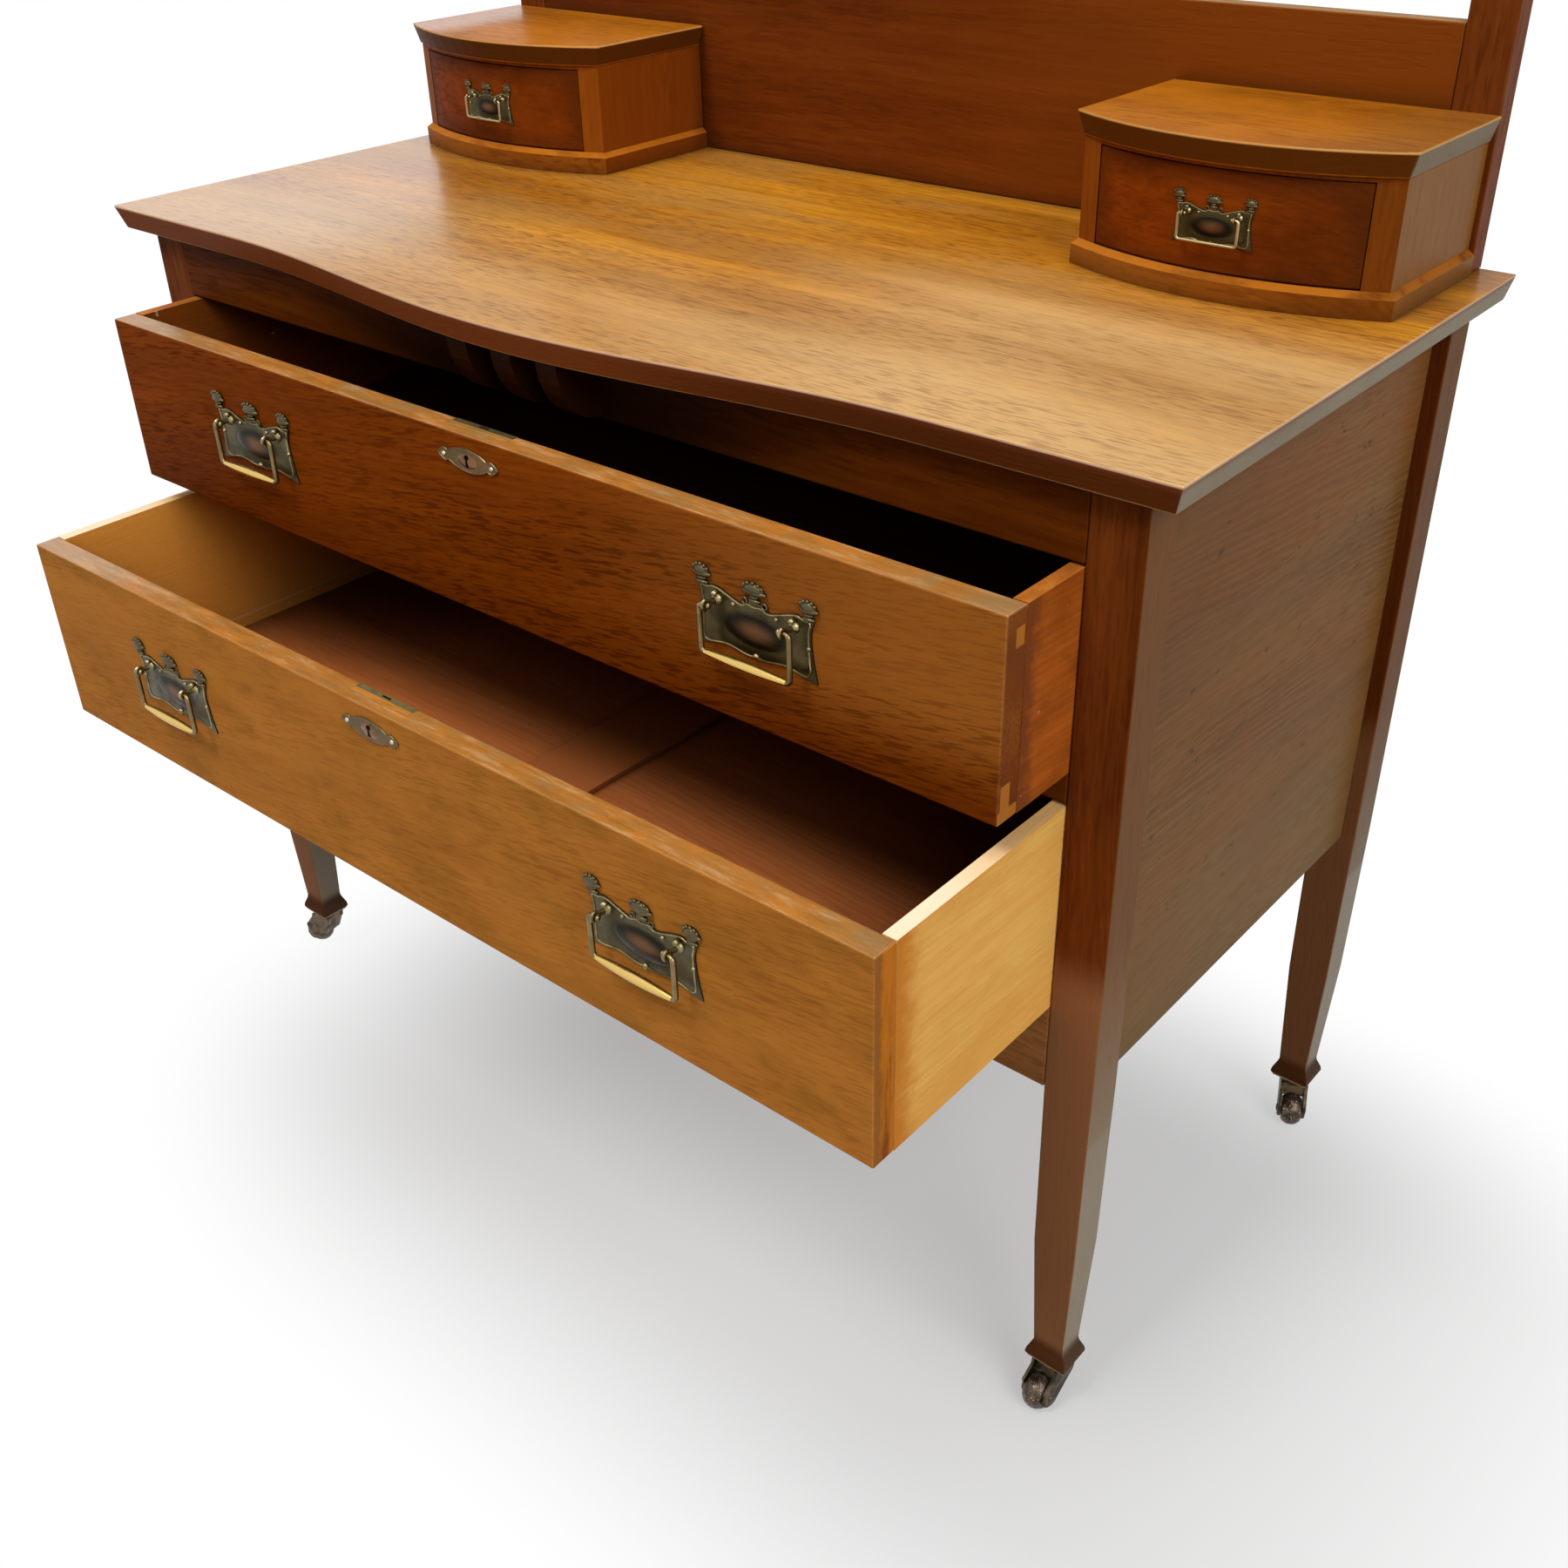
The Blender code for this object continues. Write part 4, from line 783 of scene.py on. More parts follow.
class CHEST_OT_drawers(bpy.types.Operator):
    """Finish the two long drawers, with their stained joints and dovetails"""

    bl_idname = "chest.drawers"
    bl_label = "Long drawers"

    LEAN = 0.15

    def execute(self, context):
        looks = context.scene.chest_woods
        self.fronts(looks)
        self.red_box(looks)
        self.pale_box(looks)
        self.bottoms(looks)
        return {"FINISHED"}

    def fronts(self, looks):
        """A red-brown upper front and a golden lower one."""
        upper = Wood("upper_front_oak", looks, looks.upper, contrast=0.7, pores=0.3, grit=1.8,
                     lean=self.LEAN)
        low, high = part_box("upper_drawer_front")
        x, y, z = upper.xyz
        upper.tint(x.fade(0.05, 0.42) * z.fade(low.z, low.z + 0.080) * 0.55, looks.lower)
        # Painted shade: darker towards the bottom of the upper front.
        upper.tint(z.fade(low.z + 0.060, low.z) * 0.4, scaled(looks.upper, 0.30, 0.22, 0.3))
        upper.flecks(0.6)
        self.upper_ends(upper, looks)
        self.front(upper, "upper_drawer", looks)
        lower = Wood("lower_front_oak", looks, looks.lower, contrast=0.35, pores=0.10, grit=1.8,
                     figure=0.1, lean=self.LEAN)
        lower.mottle(scaled(looks.lower, 0.62, 0.70, 0.60), 0.6, (9.0, 9.0, 16.0))
        lower.mottle(scaled(looks.lower, 1.16, 1.22, 1.10), 0.6, (13.0, 13.0, 26.0))
        lower.flecks(0.22)
        self.lower_ends(lower, looks)
        self.front(lower, "lower_drawer", looks)

    def red_box(self, looks):
        """The upper drawer's sides and back."""
        red = Wood("red_drawer_wood", looks, looks.red, "Y", [(self.on_back, "X")], contrast=0.55,
                   pores=0.1)
        red.cap(looks.tail)
        red.mottle(scaled(looks.red, 0.55, 0.50, 0.60), 0.6, (30.0, 22.0, 30.0))
        self.joint(red, "upper_drawer", looks.stain, 0.018)
        # Painted shade: a darker copy of the colour on the upper drawer's inner faces.
        self.inside(red, scaled(looks.red, 0.4))
        red.marks(looks.cream, 0.4, (70.0, 70.0, 70.0), 0.70)
        give(red.polish(0.5, 0.05), "upper_drawer_box")

    def pale_box(self, looks):
        """The lower drawer's sides and back, and the muntin of its bottom."""
        pale = Wood("pale_drawer_wood", looks, looks.pale, "Y", [(self.on_back, "X")], contrast=0.35,
                    pores=0.06, grit=1.6, figure=0.15)
        x, y, z = pale.xyz
        pale.mottle(scaled(looks.pale, 0.84, 0.74, 0.56), 0.7, (10.0, 8.0, 20.0))
        pale.cap(looks.cream)
        pale.tint(on_top(pale) * y.fade(-0.27, -0.16) * 0.75, looks.pale)
        self.joint(pale, "lower_drawer", looks.orange, 0.030)
        inner = self.inside(pale, looks.pale_inside)
        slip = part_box("lower_drawer_bottom")[1].z + 0.012
        # Painted highlight: a thin pale line along the slip on the inner faces.
        pale.tint(inner * z.between(slip - 0.001, slip + 0.001, 0.0006) * 0.25, looks.cream)
        # Painted shadow of the upper drawer on the inner faces, deeper towards the back, and painted
        # shade in their corners.
        pale.paint_corner_shade(inner * 0.8, 0.22, 0.58, 0.26)
        pale.tint(inner * y.fade(-0.20, -0.08) * 0.45, looks.dirt_and_shade)
        muntin = abs(x).fade(0.040, 0.038) * z.fade(slip + 0.001, slip)
        pale.tint(muntin, scaled(looks.bottom, 0.85))
        self.deep(pale, looks, muntin)
        give(pale.polish(0.5, 0.05), "lower_drawer_box")

    def bottoms(self, looks):
        """The lower drawer's bottom, with painted light at its left front, and the upper one's darkened
        as painted shade.
        """
        floor = Wood("drawer_bottom_wood", looks, looks.bottom, contrast=0.5, pores=0.1)
        x, y, z = floor.xyz
        # Painted light on the left front of the bottom.
        floor.tint(x.fade(0.25, -0.35) * y.fade(-0.12, -0.22), scaled(looks.bottom, 1.6))
        self.deep(floor, looks)
        give(floor.polish(0.55, 0.05), "lower_drawer_bottom")
        # Painted shade: the upper drawer's bottom in a much darker copy of the bottoms' colour.
        dark = Wood("dark_bottom_wood", looks, scaled(looks.bottom, 0.20), contrast=0.6)
        give(dark.polish(0.6, 0.02), "upper_drawer_bottom")

    def deep(self, wood, looks, mask=1.0):
        """Painted shadow of the drawer above, darker towards the back of a drawer's bottom, with painted
        shade in its corners.
        """
        wood.tint(wood.xyz[1].fade(-0.18, -0.09) * mask * 0.55, looks.dirt_and_shade)
        wood.paint_corner_shade(mask * 0.95, 0.22, 0.56, 0.24)

    def on_back(self, wood):
        return abs(wood.facing[1]).fade(0.6, 0.8)

    def front(self, wood, drawer, looks):
        """Pale, rubbed upper edge and arrises."""
        wood.cap(looks.front_edge)
        x = wood.xyz[0]
        edge = on_top(wood)
        rubbed = x.fade(-0.24, -0.44)
        patch = wood.noise(wood.spot, (26.0, 50.0, 50.0), 4.0, 0.6)
        dusty = scaled(looks.front_edge, 0.75, 0.85, 1.2)
        for mask, tone in (((1.0 - rubbed) * 0.6, looks.golden_edge),
                           (patch.fade(0.50, 0.64) * 0.3, looks.orange),
                           (patch.fade(0.47, 0.36) * 0.6, dusty),
                           (wood.fibre.fade(0.50, 0.66) * 0.4, looks.worn),
                           (wood.fibre.fade(0.48, 0.34) * 0.5, scaled(looks.lower, 0.5)),
                           (x.fade(0.415, 0.462) * 0.6, dusty)):
            wood.tint(edge * mask, tone)
        wood.wear(looks.worn, 0.8)
        give(wood.polish(0.42, 0.01, glaze=rubbed * 0.8 + 0.1, blur=0.35), drawer + "_front")

    def upper_ends(self, wood, looks):
        """Dark ends with two dovetails and a lighter lower corner."""
        low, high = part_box("upper_drawer_front")
        x, y, z = wood.xyz
        ends = on_ends(wood)
        wood.tint(ends * (wood.cloud.fade(0.62, 0.42) * 0.35 + 0.6), looks.stain)
        crisp = 0.0003
        small = y.between(low.y + 0.010, low.y + 0.0185, crisp)
        small = small * z.between(high.z - 0.025, high.z - 0.012, crisp)
        large = y.between(low.y + 0.002, low.y + 0.012, crisp) * z.fade(low.z + 0.028, low.z + 0.0275)
        strip = z.fade(low.z + 0.010, low.z + 0.009)
        wood.tint(ends * small.greater(large).greater(strip) * 0.75, looks.tail)

    def lower_ends(self, wood, looks):
        """A thin brown edge, and an orange stain with dark smears behind it."""
        low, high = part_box("lower_drawer_front")
        y = wood.xyz[1]
        ends = on_ends(wood)
        ragged = y + (wood.noise(wood.spot, (30.0, 30.0, 60.0), 4.0, 0.7) - 0.5) * 0.012
        wood.tint(ends * 0.8, scaled(looks.lower, 0.62, 0.62, 0.75))
        wood.tint(ends * ragged.fade(low.y + 0.005, low.y + 0.010) * 0.9, looks.orange)
        smear = wood.noise(wood.spot, (40.0, 90.0, 9.0), 5.0, 0.65).fade(0.38, 0.62)
        wood.tint(ends * ragged.between(low.y + 0.008, low.y + 0.018, 0.004) * smear * 0.8, looks.stain)

    def joint(self, wood, drawer, tone, reach):
        """A stain that fades away behind the front."""
        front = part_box(drawer + "_box")[0].y
        ragged = wood.xyz[1] + (wood.noise(wood.spot, 60.0, 4.0, 0.6) - 0.5) * 0.03
        wood.tint(ragged.fade(front + reach, front + 0.002) * on_ends(wood) * 0.9, tone)

    def inside(self, wood, tone):
        """Another colour on the inner faces of the sides."""
        inner = (wood.xyz[0] * wood.facing[0]).fade(0.0, -0.05) * on_ends(wood)
        wood.tint(inner * 0.85, tone)
        return inner


class CHEST_OT_trinket_boxes(bpy.types.Operator):
    """Finish the two trinket boxes and their drawers"""

    bl_idname = "chest.trinket_boxes"
    bl_label = "Trinket boxes"

    def execute(self, context):
        looks = context.scene.chest_woods
        case = Wood("trinket_case_oak", looks, looks.trinket_case, "Z", [(self.on_plinth, "X")],
                    contrast=0.7)
        x = case.xyz[0]
        low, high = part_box("right_trinket_case")
        across = x - x.math("SIGN") * ((low.x + high.x) / 2)
        sides = on_ends(case)
        faces = 1.0 - sides
        plinth = self.on_plinth(case) * faces
        case.tint(x.fade(0.1, -0.1) * sides * 0.7, scaled(looks.trinket_front, 0.75))
        # Painted sheen: a greyer colour on the right case's sides.
        case.tint(sides * x.fade(0.0, 0.1) * 0.65, scaled(looks.leg_side_and_sheen, 1.25, 1.35, 1.10))
        case.tint((1.0 - plinth) * faces * 0.35, looks.trinket_front)
        case.tint(plinth * across.fade(0.03, -0.08) * 0.6, looks.golden_edge)
        case.tint(x.fade(0.40, 0.47) * faces * 0.35, looks.dirt_and_shade)
        case.wear(looks.orange, 0.5, level=True)
        # Painted shade in the corners of the cases.
        case.paint_corner_shade(0.6)
        give(case.polish(0.42, 0.02, 0.10), *both("_trinket_case"))
        top = Wood("trinket_top_oak", looks, looks.trinket_top, contrast=0.8)
        x, y, z = top.xyz
        top.mottle(scaled(looks.trinket_top, 1.30, 1.32, 1.20), 0.6, (12.0, 12.0, 12.0))
        top.cap(scaled(looks.trinket_top, 0.30, 0.27, 0.40), on_walls, 1.2)
        top.tint(on_walls(top) * x.fade(0.1, -0.1) * 0.25, looks.dirt_and_shade)
        # End grain with a painted grey sheen on the ends of the right top.
        top.tint(on_ends(top) * x.fade(0.0, 0.1) * 0.6, looks.end_grain_and_sheen)
        top.tint(on_top(top) * x.fade(0.41, 0.50) * 0.45, scaled(looks.leg_side_and_sheen, 0.9))
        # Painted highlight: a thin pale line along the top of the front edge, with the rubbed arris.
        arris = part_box("left_trinket_top")[1].z - 0.0010
        top.tint(on_walls(top) * z.fade(arris - 0.0012, arris) * 0.8, looks.golden_arris_and_highlight)
        top.wear(looks.golden_arris_and_highlight, 0.9, level=True, rise=0.05)
        hazy = x.fade(-0.41, -0.47) * 0.8 + 0.1
        give(top.polish(0.40, 0.02, glaze=hazy, blur=0.26), *both("_trinket_top"))
        front = Wood("trinket_front_oak", looks, looks.trinket_front, contrast=0.6, pores=0.25)
        x = front.xyz[0]
        front.wear(looks.worn_red, 0.6, level=True)
        front.tint(x.fade(0.1, -0.1) * 0.2, looks.dirt_and_shade)
        front.mottle(scaled(looks.trinket_front, 0.5), 0.7, (16.0, 16.0, 22.0))
        front.tint(x.fade(0.36, 0.45) * 0.4, looks.dirt_and_shade)
        front.frame(*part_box("right_trinket_drawer_front"), 0.022, 0.5)
        give(front.polish(0.40, 0.02), *both("_trinket_drawer_front"))
        tray = Wood("tray_wood", looks, looks.pale, "Y", contrast=0.6)
        give(tray.polish(0.55, 0.12), *both("_trinket_drawer_tray"))
        return {"FINISHED"}

    def on_plinth(self, wood):
        low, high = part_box("left_trinket_drawer_front")
        return wood.xyz[2].fade(low.z, low.z - 0.001)


class CHEST_OT_mirror(bpy.types.Operator):
    """Finish the uprights, splash board and mirror, and bevel its glass"""

    bl_idname = "chest.mirror"
    bl_label = "Mirror and uprights"

    def execute(self, context):
        looks = context.scene.chest_woods
        metals = context.scene.chest_metals
        posts = Wood("upright_oak", looks, looks.post, "Z", contrast=0.8)
        posts.wear(looks.worn_red, 0.8)
        give(posts.polish(0.40, 0.02, 0.05), *both("_upright"))
        splash = Wood("splash_oak", looks, looks.splash, contrast=0.9, pores=0.3)
        splash.bands(scaled(looks.splash, 0.75, 0.7, 0.7), 0.5)
        splash.tint(splash.xyz[0].fade(-0.10, 0.40) * 0.7, scaled(looks.splash, 1.8, 2.1, 1.6))
        splash.cap(looks.front_edge)
        splash.wear(looks.worn, 0.7)
        # Painted shade in the corners round the trinket boxes.
        splash.paint_corner_shade(0.6)
        give(splash.polish(0.40, 0.03), "splash_board")
        border = Wood("mirror_frame_oak", looks, looks.splash, "X", [(self.on_stiles, "Z")], contrast=0.7)
        border.wear(looks.worn_red, 0.7)
        give(border.polish(0.36, 0.2), "mirror_frame")
        self.glass(metals, context.scene.chest_fittings.glass_bevel)
        brass = metal("pivot_brass", metals.rubbed, metals.shade)
        give(brass, *both("_mirror_pivot"))
        return {"FINISHED"}

    def on_stiles(self, wood):
        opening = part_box("mirror_glass")[1].x - 0.010
        return abs(wood.xyz[0]).fade(opening, opening + 0.001)

    def glass(self, metals, bevel):
        """Silvered glass with a bevelled border."""
        low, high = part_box("mirror_glass")
        silver = Finish("silvered_glass")
        spots = silver.noise(silver.spot, 160.0, 3.0).fade(0.70, 0.76) * 0.5
        haze = silver.noise(silver.spot, 3.0, 3.0)
        colour = silver.mix(spots, tuple(metals.glass), scaled(metals.glass, 0.3))
        silver.set(base_color=colour, metallic=1.0, roughness=haze * 0.02 + 0.015)
        middle = (low + high) / 2
        size = (high - low) / 2
        fall = 0.0018
        casting = Casting()
        face = casting.block((-size.x, -size.z, 0.0), (size.x, size.z, 2 * size.y - fall))
        casting.step(face, bevel, fall)
        piece = add_piece("bevelled_glass", casting, on_front(middle.x, high.y, middle.z), [silver],
                          "mirror", "mirror_glass")
        piece.data.shade_flat()


class CHEST_OT_handles(bpy.types.Operator):
    """Cast the six handle plates with beads, dishes, finials and eyes"""

    bl_idname = "chest.handles"
    bl_label = "Handle plates"

    FIELD, BRIGHT, BUD = range(3)
    RIVETS = ((0.0185, 0.0005), (0.0452, -0.0120))
    RIVET_RADIUS = 0.0017
    DISH = ((1.0, -0.1), (0.93, 0.10), (0.80, 0.36), (0.60, 0.68), (0.35, 0.92), (0.02, 1.0))
    KNOB = (0.0015, 0.0014, 0.0014)

    def execute(self, context):
        metals = context.scene.chest_metals
        sizes = context.scene.chest_fittings
        bright = metal("handle_bright", metals.rubbed, metals.bronze, 0.28)
        bud = metal("handle_bud", metals.bud, metals.bronze, 0.36, 0.5)
        found = handles()
        flat = [handle for handle in found if not handle.bow]
        bowed = [handle for handle in found if handle.bow]
        large = self.field("handle_field", metals, sizes, flat)
        small = self.field("small_handle_field", metals, sizes, bowed)
        for handle in found:
            finishes = [small if handle.bow else large, bright, bud]
            casting = Casting()
            self.plate(casting, sizes)
            fall = 0.0
            if handle.bow:
                casting.bend(handle.bow, max(point[0] for point in PLATE_HALF))
                fall = handle.bow - math.sqrt(handle.bow ** 2 - POST_SPREAD ** 2)
            self.eyes(casting, sizes, fall)
            face = handle.axis.y + STANDOFF * handle.scale
            placing = on_front(handle.axis.x, face, handle.axis.z, handle.scale)
            add_piece(handle.name + "_handle_plate", casting, placing, finishes, handle.body,
                      handle.name + "_plate")
        return {"FINISHED"}

    def field(self, name, metals, sizes, plates):
        """Dark bronze with painted shade in the dish of each plate and a painted copper reflection in its
        middle.
        """
        finish = metal(name, metals.bronze, scaled(metals.bronze, 0.5), 0.30, 0.6)
        colour = Link(finish, finish.shader.inputs["Base Color"].links[0].from_socket)
        hollow = painted_reflection = 0.0
        for plate in plates:
            across = (finish.xyz[0] - plate.axis.x) * (1.0 / (sizes.dish_half * plate.scale))
            up = finish.xyz[2] - plate.axis.z - DISH_LOW * plate.scale
            up = up * (1.0 / (sizes.dish_tall * plate.scale))
            away = (across * across + up * up).root()
            hollow = away.fade(1.15, 0.75) + hollow
            painted_reflection = away.fade(0.75, 0.10) + painted_reflection
        # Painted shade in the dish.
        colour = finish.mix(hollow * 0.9, colour, tuple(metals.shade))
        # Painted copper reflection in the middle.
        finish.set(base_color=finish.mix(painted_reflection * 0.9, colour, tuple(metals.copper)))
        return finish

    def plate(self, casting, sizes):
        """A thin plate with a bead, an oval dish, rivets, scrolls and three finials."""
        field = sizes.plate
        casting.slab(rounded(PLATE_HALF, 5), 0.0, field, self.FIELD)
        bead = [((spot.x, spot.y, field), sizes.bead) for spot in rounded(BEAD_HALF, 5)]
        casting.tube(bead, self.BRIGHT, 6, True)
        oval = Matrix.Translation((0, DISH_LOW, field)) @ Matrix.Diagonal(
            (sizes.dish_half, sizes.dish_tall, sizes.dish_rise, 1.0))
        casting.turned(self.DISH, oval, self.FIELD, 32)
        for u, v in self.RIVETS:
            for sign in (-1, 1):
                casting.ball((sign * u, v, field), (self.RIVET_RADIUS,) * 3, self.BRIGHT)
        casting.ball((0, -0.0322, field), (0.0024, 0.0024, 0.0020), self.BRIGHT)
        for sign in (-1, 1):
            casting.hoop((sign * 0.0085, 0.0062, field), 0.0022, 0.0008, (0, 0, 1), self.BUD)
            self.finial(casting, (sign * 0.0455, 0.0095, field), 0.0080)
        self.finial(casting, (0, 0.0085, field), 0.0108)

    def finial(self, casting, base, half):
        """A collar, a broad bud with a ridge, and a crown of small knobs."""
        u, v, w = base
        casting.ball((u, v, w), (0.0052, 0.0017, 0.0026), self.BUD)
        casting.ball((u, v + 0.0027, w), (0.0040, 0.0016, 0.0024), self.BUD)
        casting.ball((u, v + 0.0060, w), (half, 0.0026, 0.0032), self.BUD, 16)
        casting.ball((u, v + 0.0082, w), (half * 0.80, 0.0042, 0.0034), self.BUD, 16)
        for i in range(-2, 3):
            lean = math.radians(32 * i)
            spot = (u + half * 0.78 * math.sin(lean), v + 0.0084 + 0.0042 * math.cos(lean), w + 0.0012)
            casting.ball(spot, self.KNOB, self.BUD, 8)

    def eyes(self, casting, sizes, fall):
        """The two eyes that the bail hangs from, on short turned stems with a knob above."""
        top = STANDOFF - sizes.eye
        stem = [(0.0001, -fall), (0.0046, -fall), (0.0046, sizes.plate - fall), (0.0040, 0.0026 - fall),
                (0.0022, 0.0040 - fall), (0.0019, top - 0.002), (0.0024, top), (0.0001, top)]
        for u in (-POST_SPREAD, POST_SPREAD):
            casting.turned(stem, Matrix.Translation((u, 0.0, 0.0)), self.BRIGHT)
            casting.hoop((u, 0.0, STANDOFF), sizes.eye, sizes.eye_wire, (1, 0, 0), self.BRIGHT)
            casting.ball((u, 0.0050, 0.0030 - fall), (0.0024, 0.0022, 0.0030), self.BRIGHT)


class CHEST_OT_bails(bpy.types.Operator):
    """Bend the six bails, with thin arms and a bright grip"""

    bl_idname = "chest.bails"
    bl_label = "Bails"

    CORNER = 0.0032
    NECK = 0.0016
    NECK_POINTS = 3
    CORNER_STEPS = 4
    GRIP_STEPS = 16

    def execute(self, context):
        metals = context.scene.chest_metals
        sizes = context.scene.chest_fittings
        arm = metal("bail_arm", metals.arm, metals.bronze, 0.28, 0.5, scaled(metals.arm, 0.5))
        grip = metal("bail_grip", metals.grip, metals.grip, 0.20, 0.0, metals.grip_underside_shade)
        thin = metal("small_bail", scaled(metals.rubbed, 1.5), metals.arm, 0.25, 0.5, metals.arm)
        for handle in handles():
            casting = Casting()
            self.bend(casting, sizes.arm, sizes.arm if handle.bow else sizes.grip, handle.drop)
            finishes = [thin, thin] if handle.bow else [arm, grip]
            add_piece(handle.name + "_bail_wire", casting, on_front(*handle.axis, handle.scale), finishes,
                      handle.name + "_bail", handle.name + "_bail")
        return {"FINISHED"}

    def bend(self, casting, thin, thick, drop):
        """Two arms from the eyes down, and a grip that swells to the middle."""
        corner = self.CORNER
        inner = POST_SPREAD - 0.0030
        end = ARM_SPREAD - corner
        turns = [math.pi / 2 * i / self.CORNER_STEPS for i in range(self.CORNER_STEPS + 1)]
        path = [(inner, 0.0)]
        path += [(end + corner * math.sin(turn), corner * math.cos(turn) - corner) for turn in turns]
        foot = corner - drop
        path += [(end + corner * math.cos(turn), foot - corner * math.sin(turn)) for turn in turns]
        radii = [self.NECK if i < self.NECK_POINTS else thin for i in range(len(path))]
        for sign in (-1, 1):
            arm = [((sign * u, v, 0.0), radius) for (u, v), radius in zip(path, radii)]
            casting.tube(arm, 0, 10)
            casting.ball((sign * inner, 0.0, 0.0), (0.0016, 0.0023, 0.0023), 0)
        grip = []
        for i in range(self.GRIP_STEPS + 1):
            along = 2.0 * i / self.GRIP_STEPS - 1.0
            swell = max(0.0, math.cos(math.pi / 2 * along)) ** 0.9
            grip.append(((end * along, -drop, 0.0), thin + (thick - thin) * swell))
        casting.tube(grip, 1, 12)


class CHEST_OT_keyholes(bpy.types.Operator):
    """Make the two keyhole plates with their pins"""

    bl_idname = "chest.keyholes"
    bl_label = "Keyhole plates"

    FIELD, RIM, PIN, DARK, OVAL = range(5)
    RIM_STEPS = ((0.0003, 0.0, FIELD), (0.0004, 0.0005, RIM), (0.0004, 0.0, RIM), (0.0004, -0.0004, RIM))
    SLOT = ((-0.0009, 0.0020), (-0.0015, -0.0046), (0.0015, -0.0046), (0.0009, 0.0020))

    def execute(self, context):
        metals = context.scene.chest_metals
        finishes = [metal("keyhole_field", scaled(metals.bronze, 1.8, 1.2, 1.1), metals.bronze, 0.34),
                    metal("keyhole_rim", scaled(metals.rubbed, 0.50, 0.42, 0.38), metals.bronze, 0.30),
                    metal("keyhole_pin", metals.pin, metals.rubbed, 0.22, 0.3),
                    metal("keyhole_dark", scaled(metals.shade, 0.4), scaled(metals.shade, 0.4), 0.7),
                    metal("keyhole_oval", scaled(metals.copper, 1.6), metals.bronze, 0.28)]
        for drawer in LONG_DRAWERS:
            low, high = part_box(drawer + "_escutcheon")
            middle = (low + high) / 2
            casting = Casting()
            face = casting.slab(rounded(KEYHOLE_PLATE_HALF, 6), 0.0, 0.0007)
            for width, rise, finish in self.RIM_STEPS:
                casting.step(face, width, rise, finish)
            # The oval's copper colour is partly a painted reflection.
            casting.ball((0, -0.0004, 0.0006), (0.0105, 0.0056, 0.0012), self.OVAL, 20)
            # Painted shade: the keyhole is a dark raised shape on the plate.
            hole = Matrix.Translation((0, 0.0026, 0))
            casting.turned([(0.0021, 0.0), (0.0021, 0.00195)], hole, self.DARK, 14)
            casting.slab(self.SLOT, 0.0, 0.0019, self.DARK)
            for u in (-0.0262, 0.0262):
                casting.ball((u, 0, 0.0007), (0.0021, 0.0021, 0.0016), self.PIN)
            add_piece(drawer + "_keyhole_plate", casting, on_front(middle.x, high.y, middle.z), finishes,
                      drawer, drawer + "_escutcheon")
        return {"FINISHED"}


class CHEST_OT_locks(bpy.types.Operator):
    """Make the two drawer locks, with their bolt slots and screws"""

    bl_idname = "chest.locks"
    bl_label = "Locks"

    BRASS, DARK, SCREW, EDGE = range(4)

    def execute(self, context):
        metals = context.scene.chest_metals
        woods = context.scene.chest_woods
        edge = Wood("lock_edge_oak", woods, woods.front_edge, contrast=1.2)
        edge.tint(edge.fibre.fade(0.40, 0.60) * 0.55, woods.orange)
        finishes = [metal("lock_brass", metals.lock, scaled(metals.lock, 0.30, 0.36, 0.4), 0.42, 0.8),
                    metal("lock_dark", metals.shade, metals.shade, 0.6),
                    metal("lock_screw", metals.pin, metals.rubbed, 0.3), edge.polish(0.42, 0.01)]
        for drawer in LONG_DRAWERS:
            low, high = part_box(drawer + "_lock")
            half, tall, deep = (high.x - low.x) / 2, high.z - low.z, high.y - low.y
            casting = Casting()
            casting.block((-half, -tall, 0.0), (half, 0.0, deep * 0.5), self.BRASS)
            casting.block((-half, -tall, deep * 0.5), (half, 0.0, deep), self.EDGE)
            # Painted shade: dark blocks stand for the bolt slot, the screw slots and the keyhole.
            casting.block((-0.0050, -0.0020, deep * 0.15), (0.0050, 0.0001, deep * 0.32), self.DARK)
            for u in (-0.026, 0.026):
                for v in (-0.007, -0.038):
                    casting.ball((u, v, 0.0), (0.0028, 0.0028, 0.0008), self.SCREW)
                    low_end, high_end = (u - 0.0024, v - 0.0003, -0.0010), (u + 0.0024, v + 0.0003, 0.0)
                    casting.block(low_end, high_end, self.DARK)
            hole = Matrix.Translation((0, -tall * 0.42, 0))
            casting.turned([(0.0030, -0.0005), (0.0030, 0.0)], hole, self.DARK)
            add_piece(drawer + "_lock_case", casting, on_front((low.x + high.x) / 2, high.y, high.z),
                      finishes, drawer, drawer + "_lock")
        return {"FINISHED"}


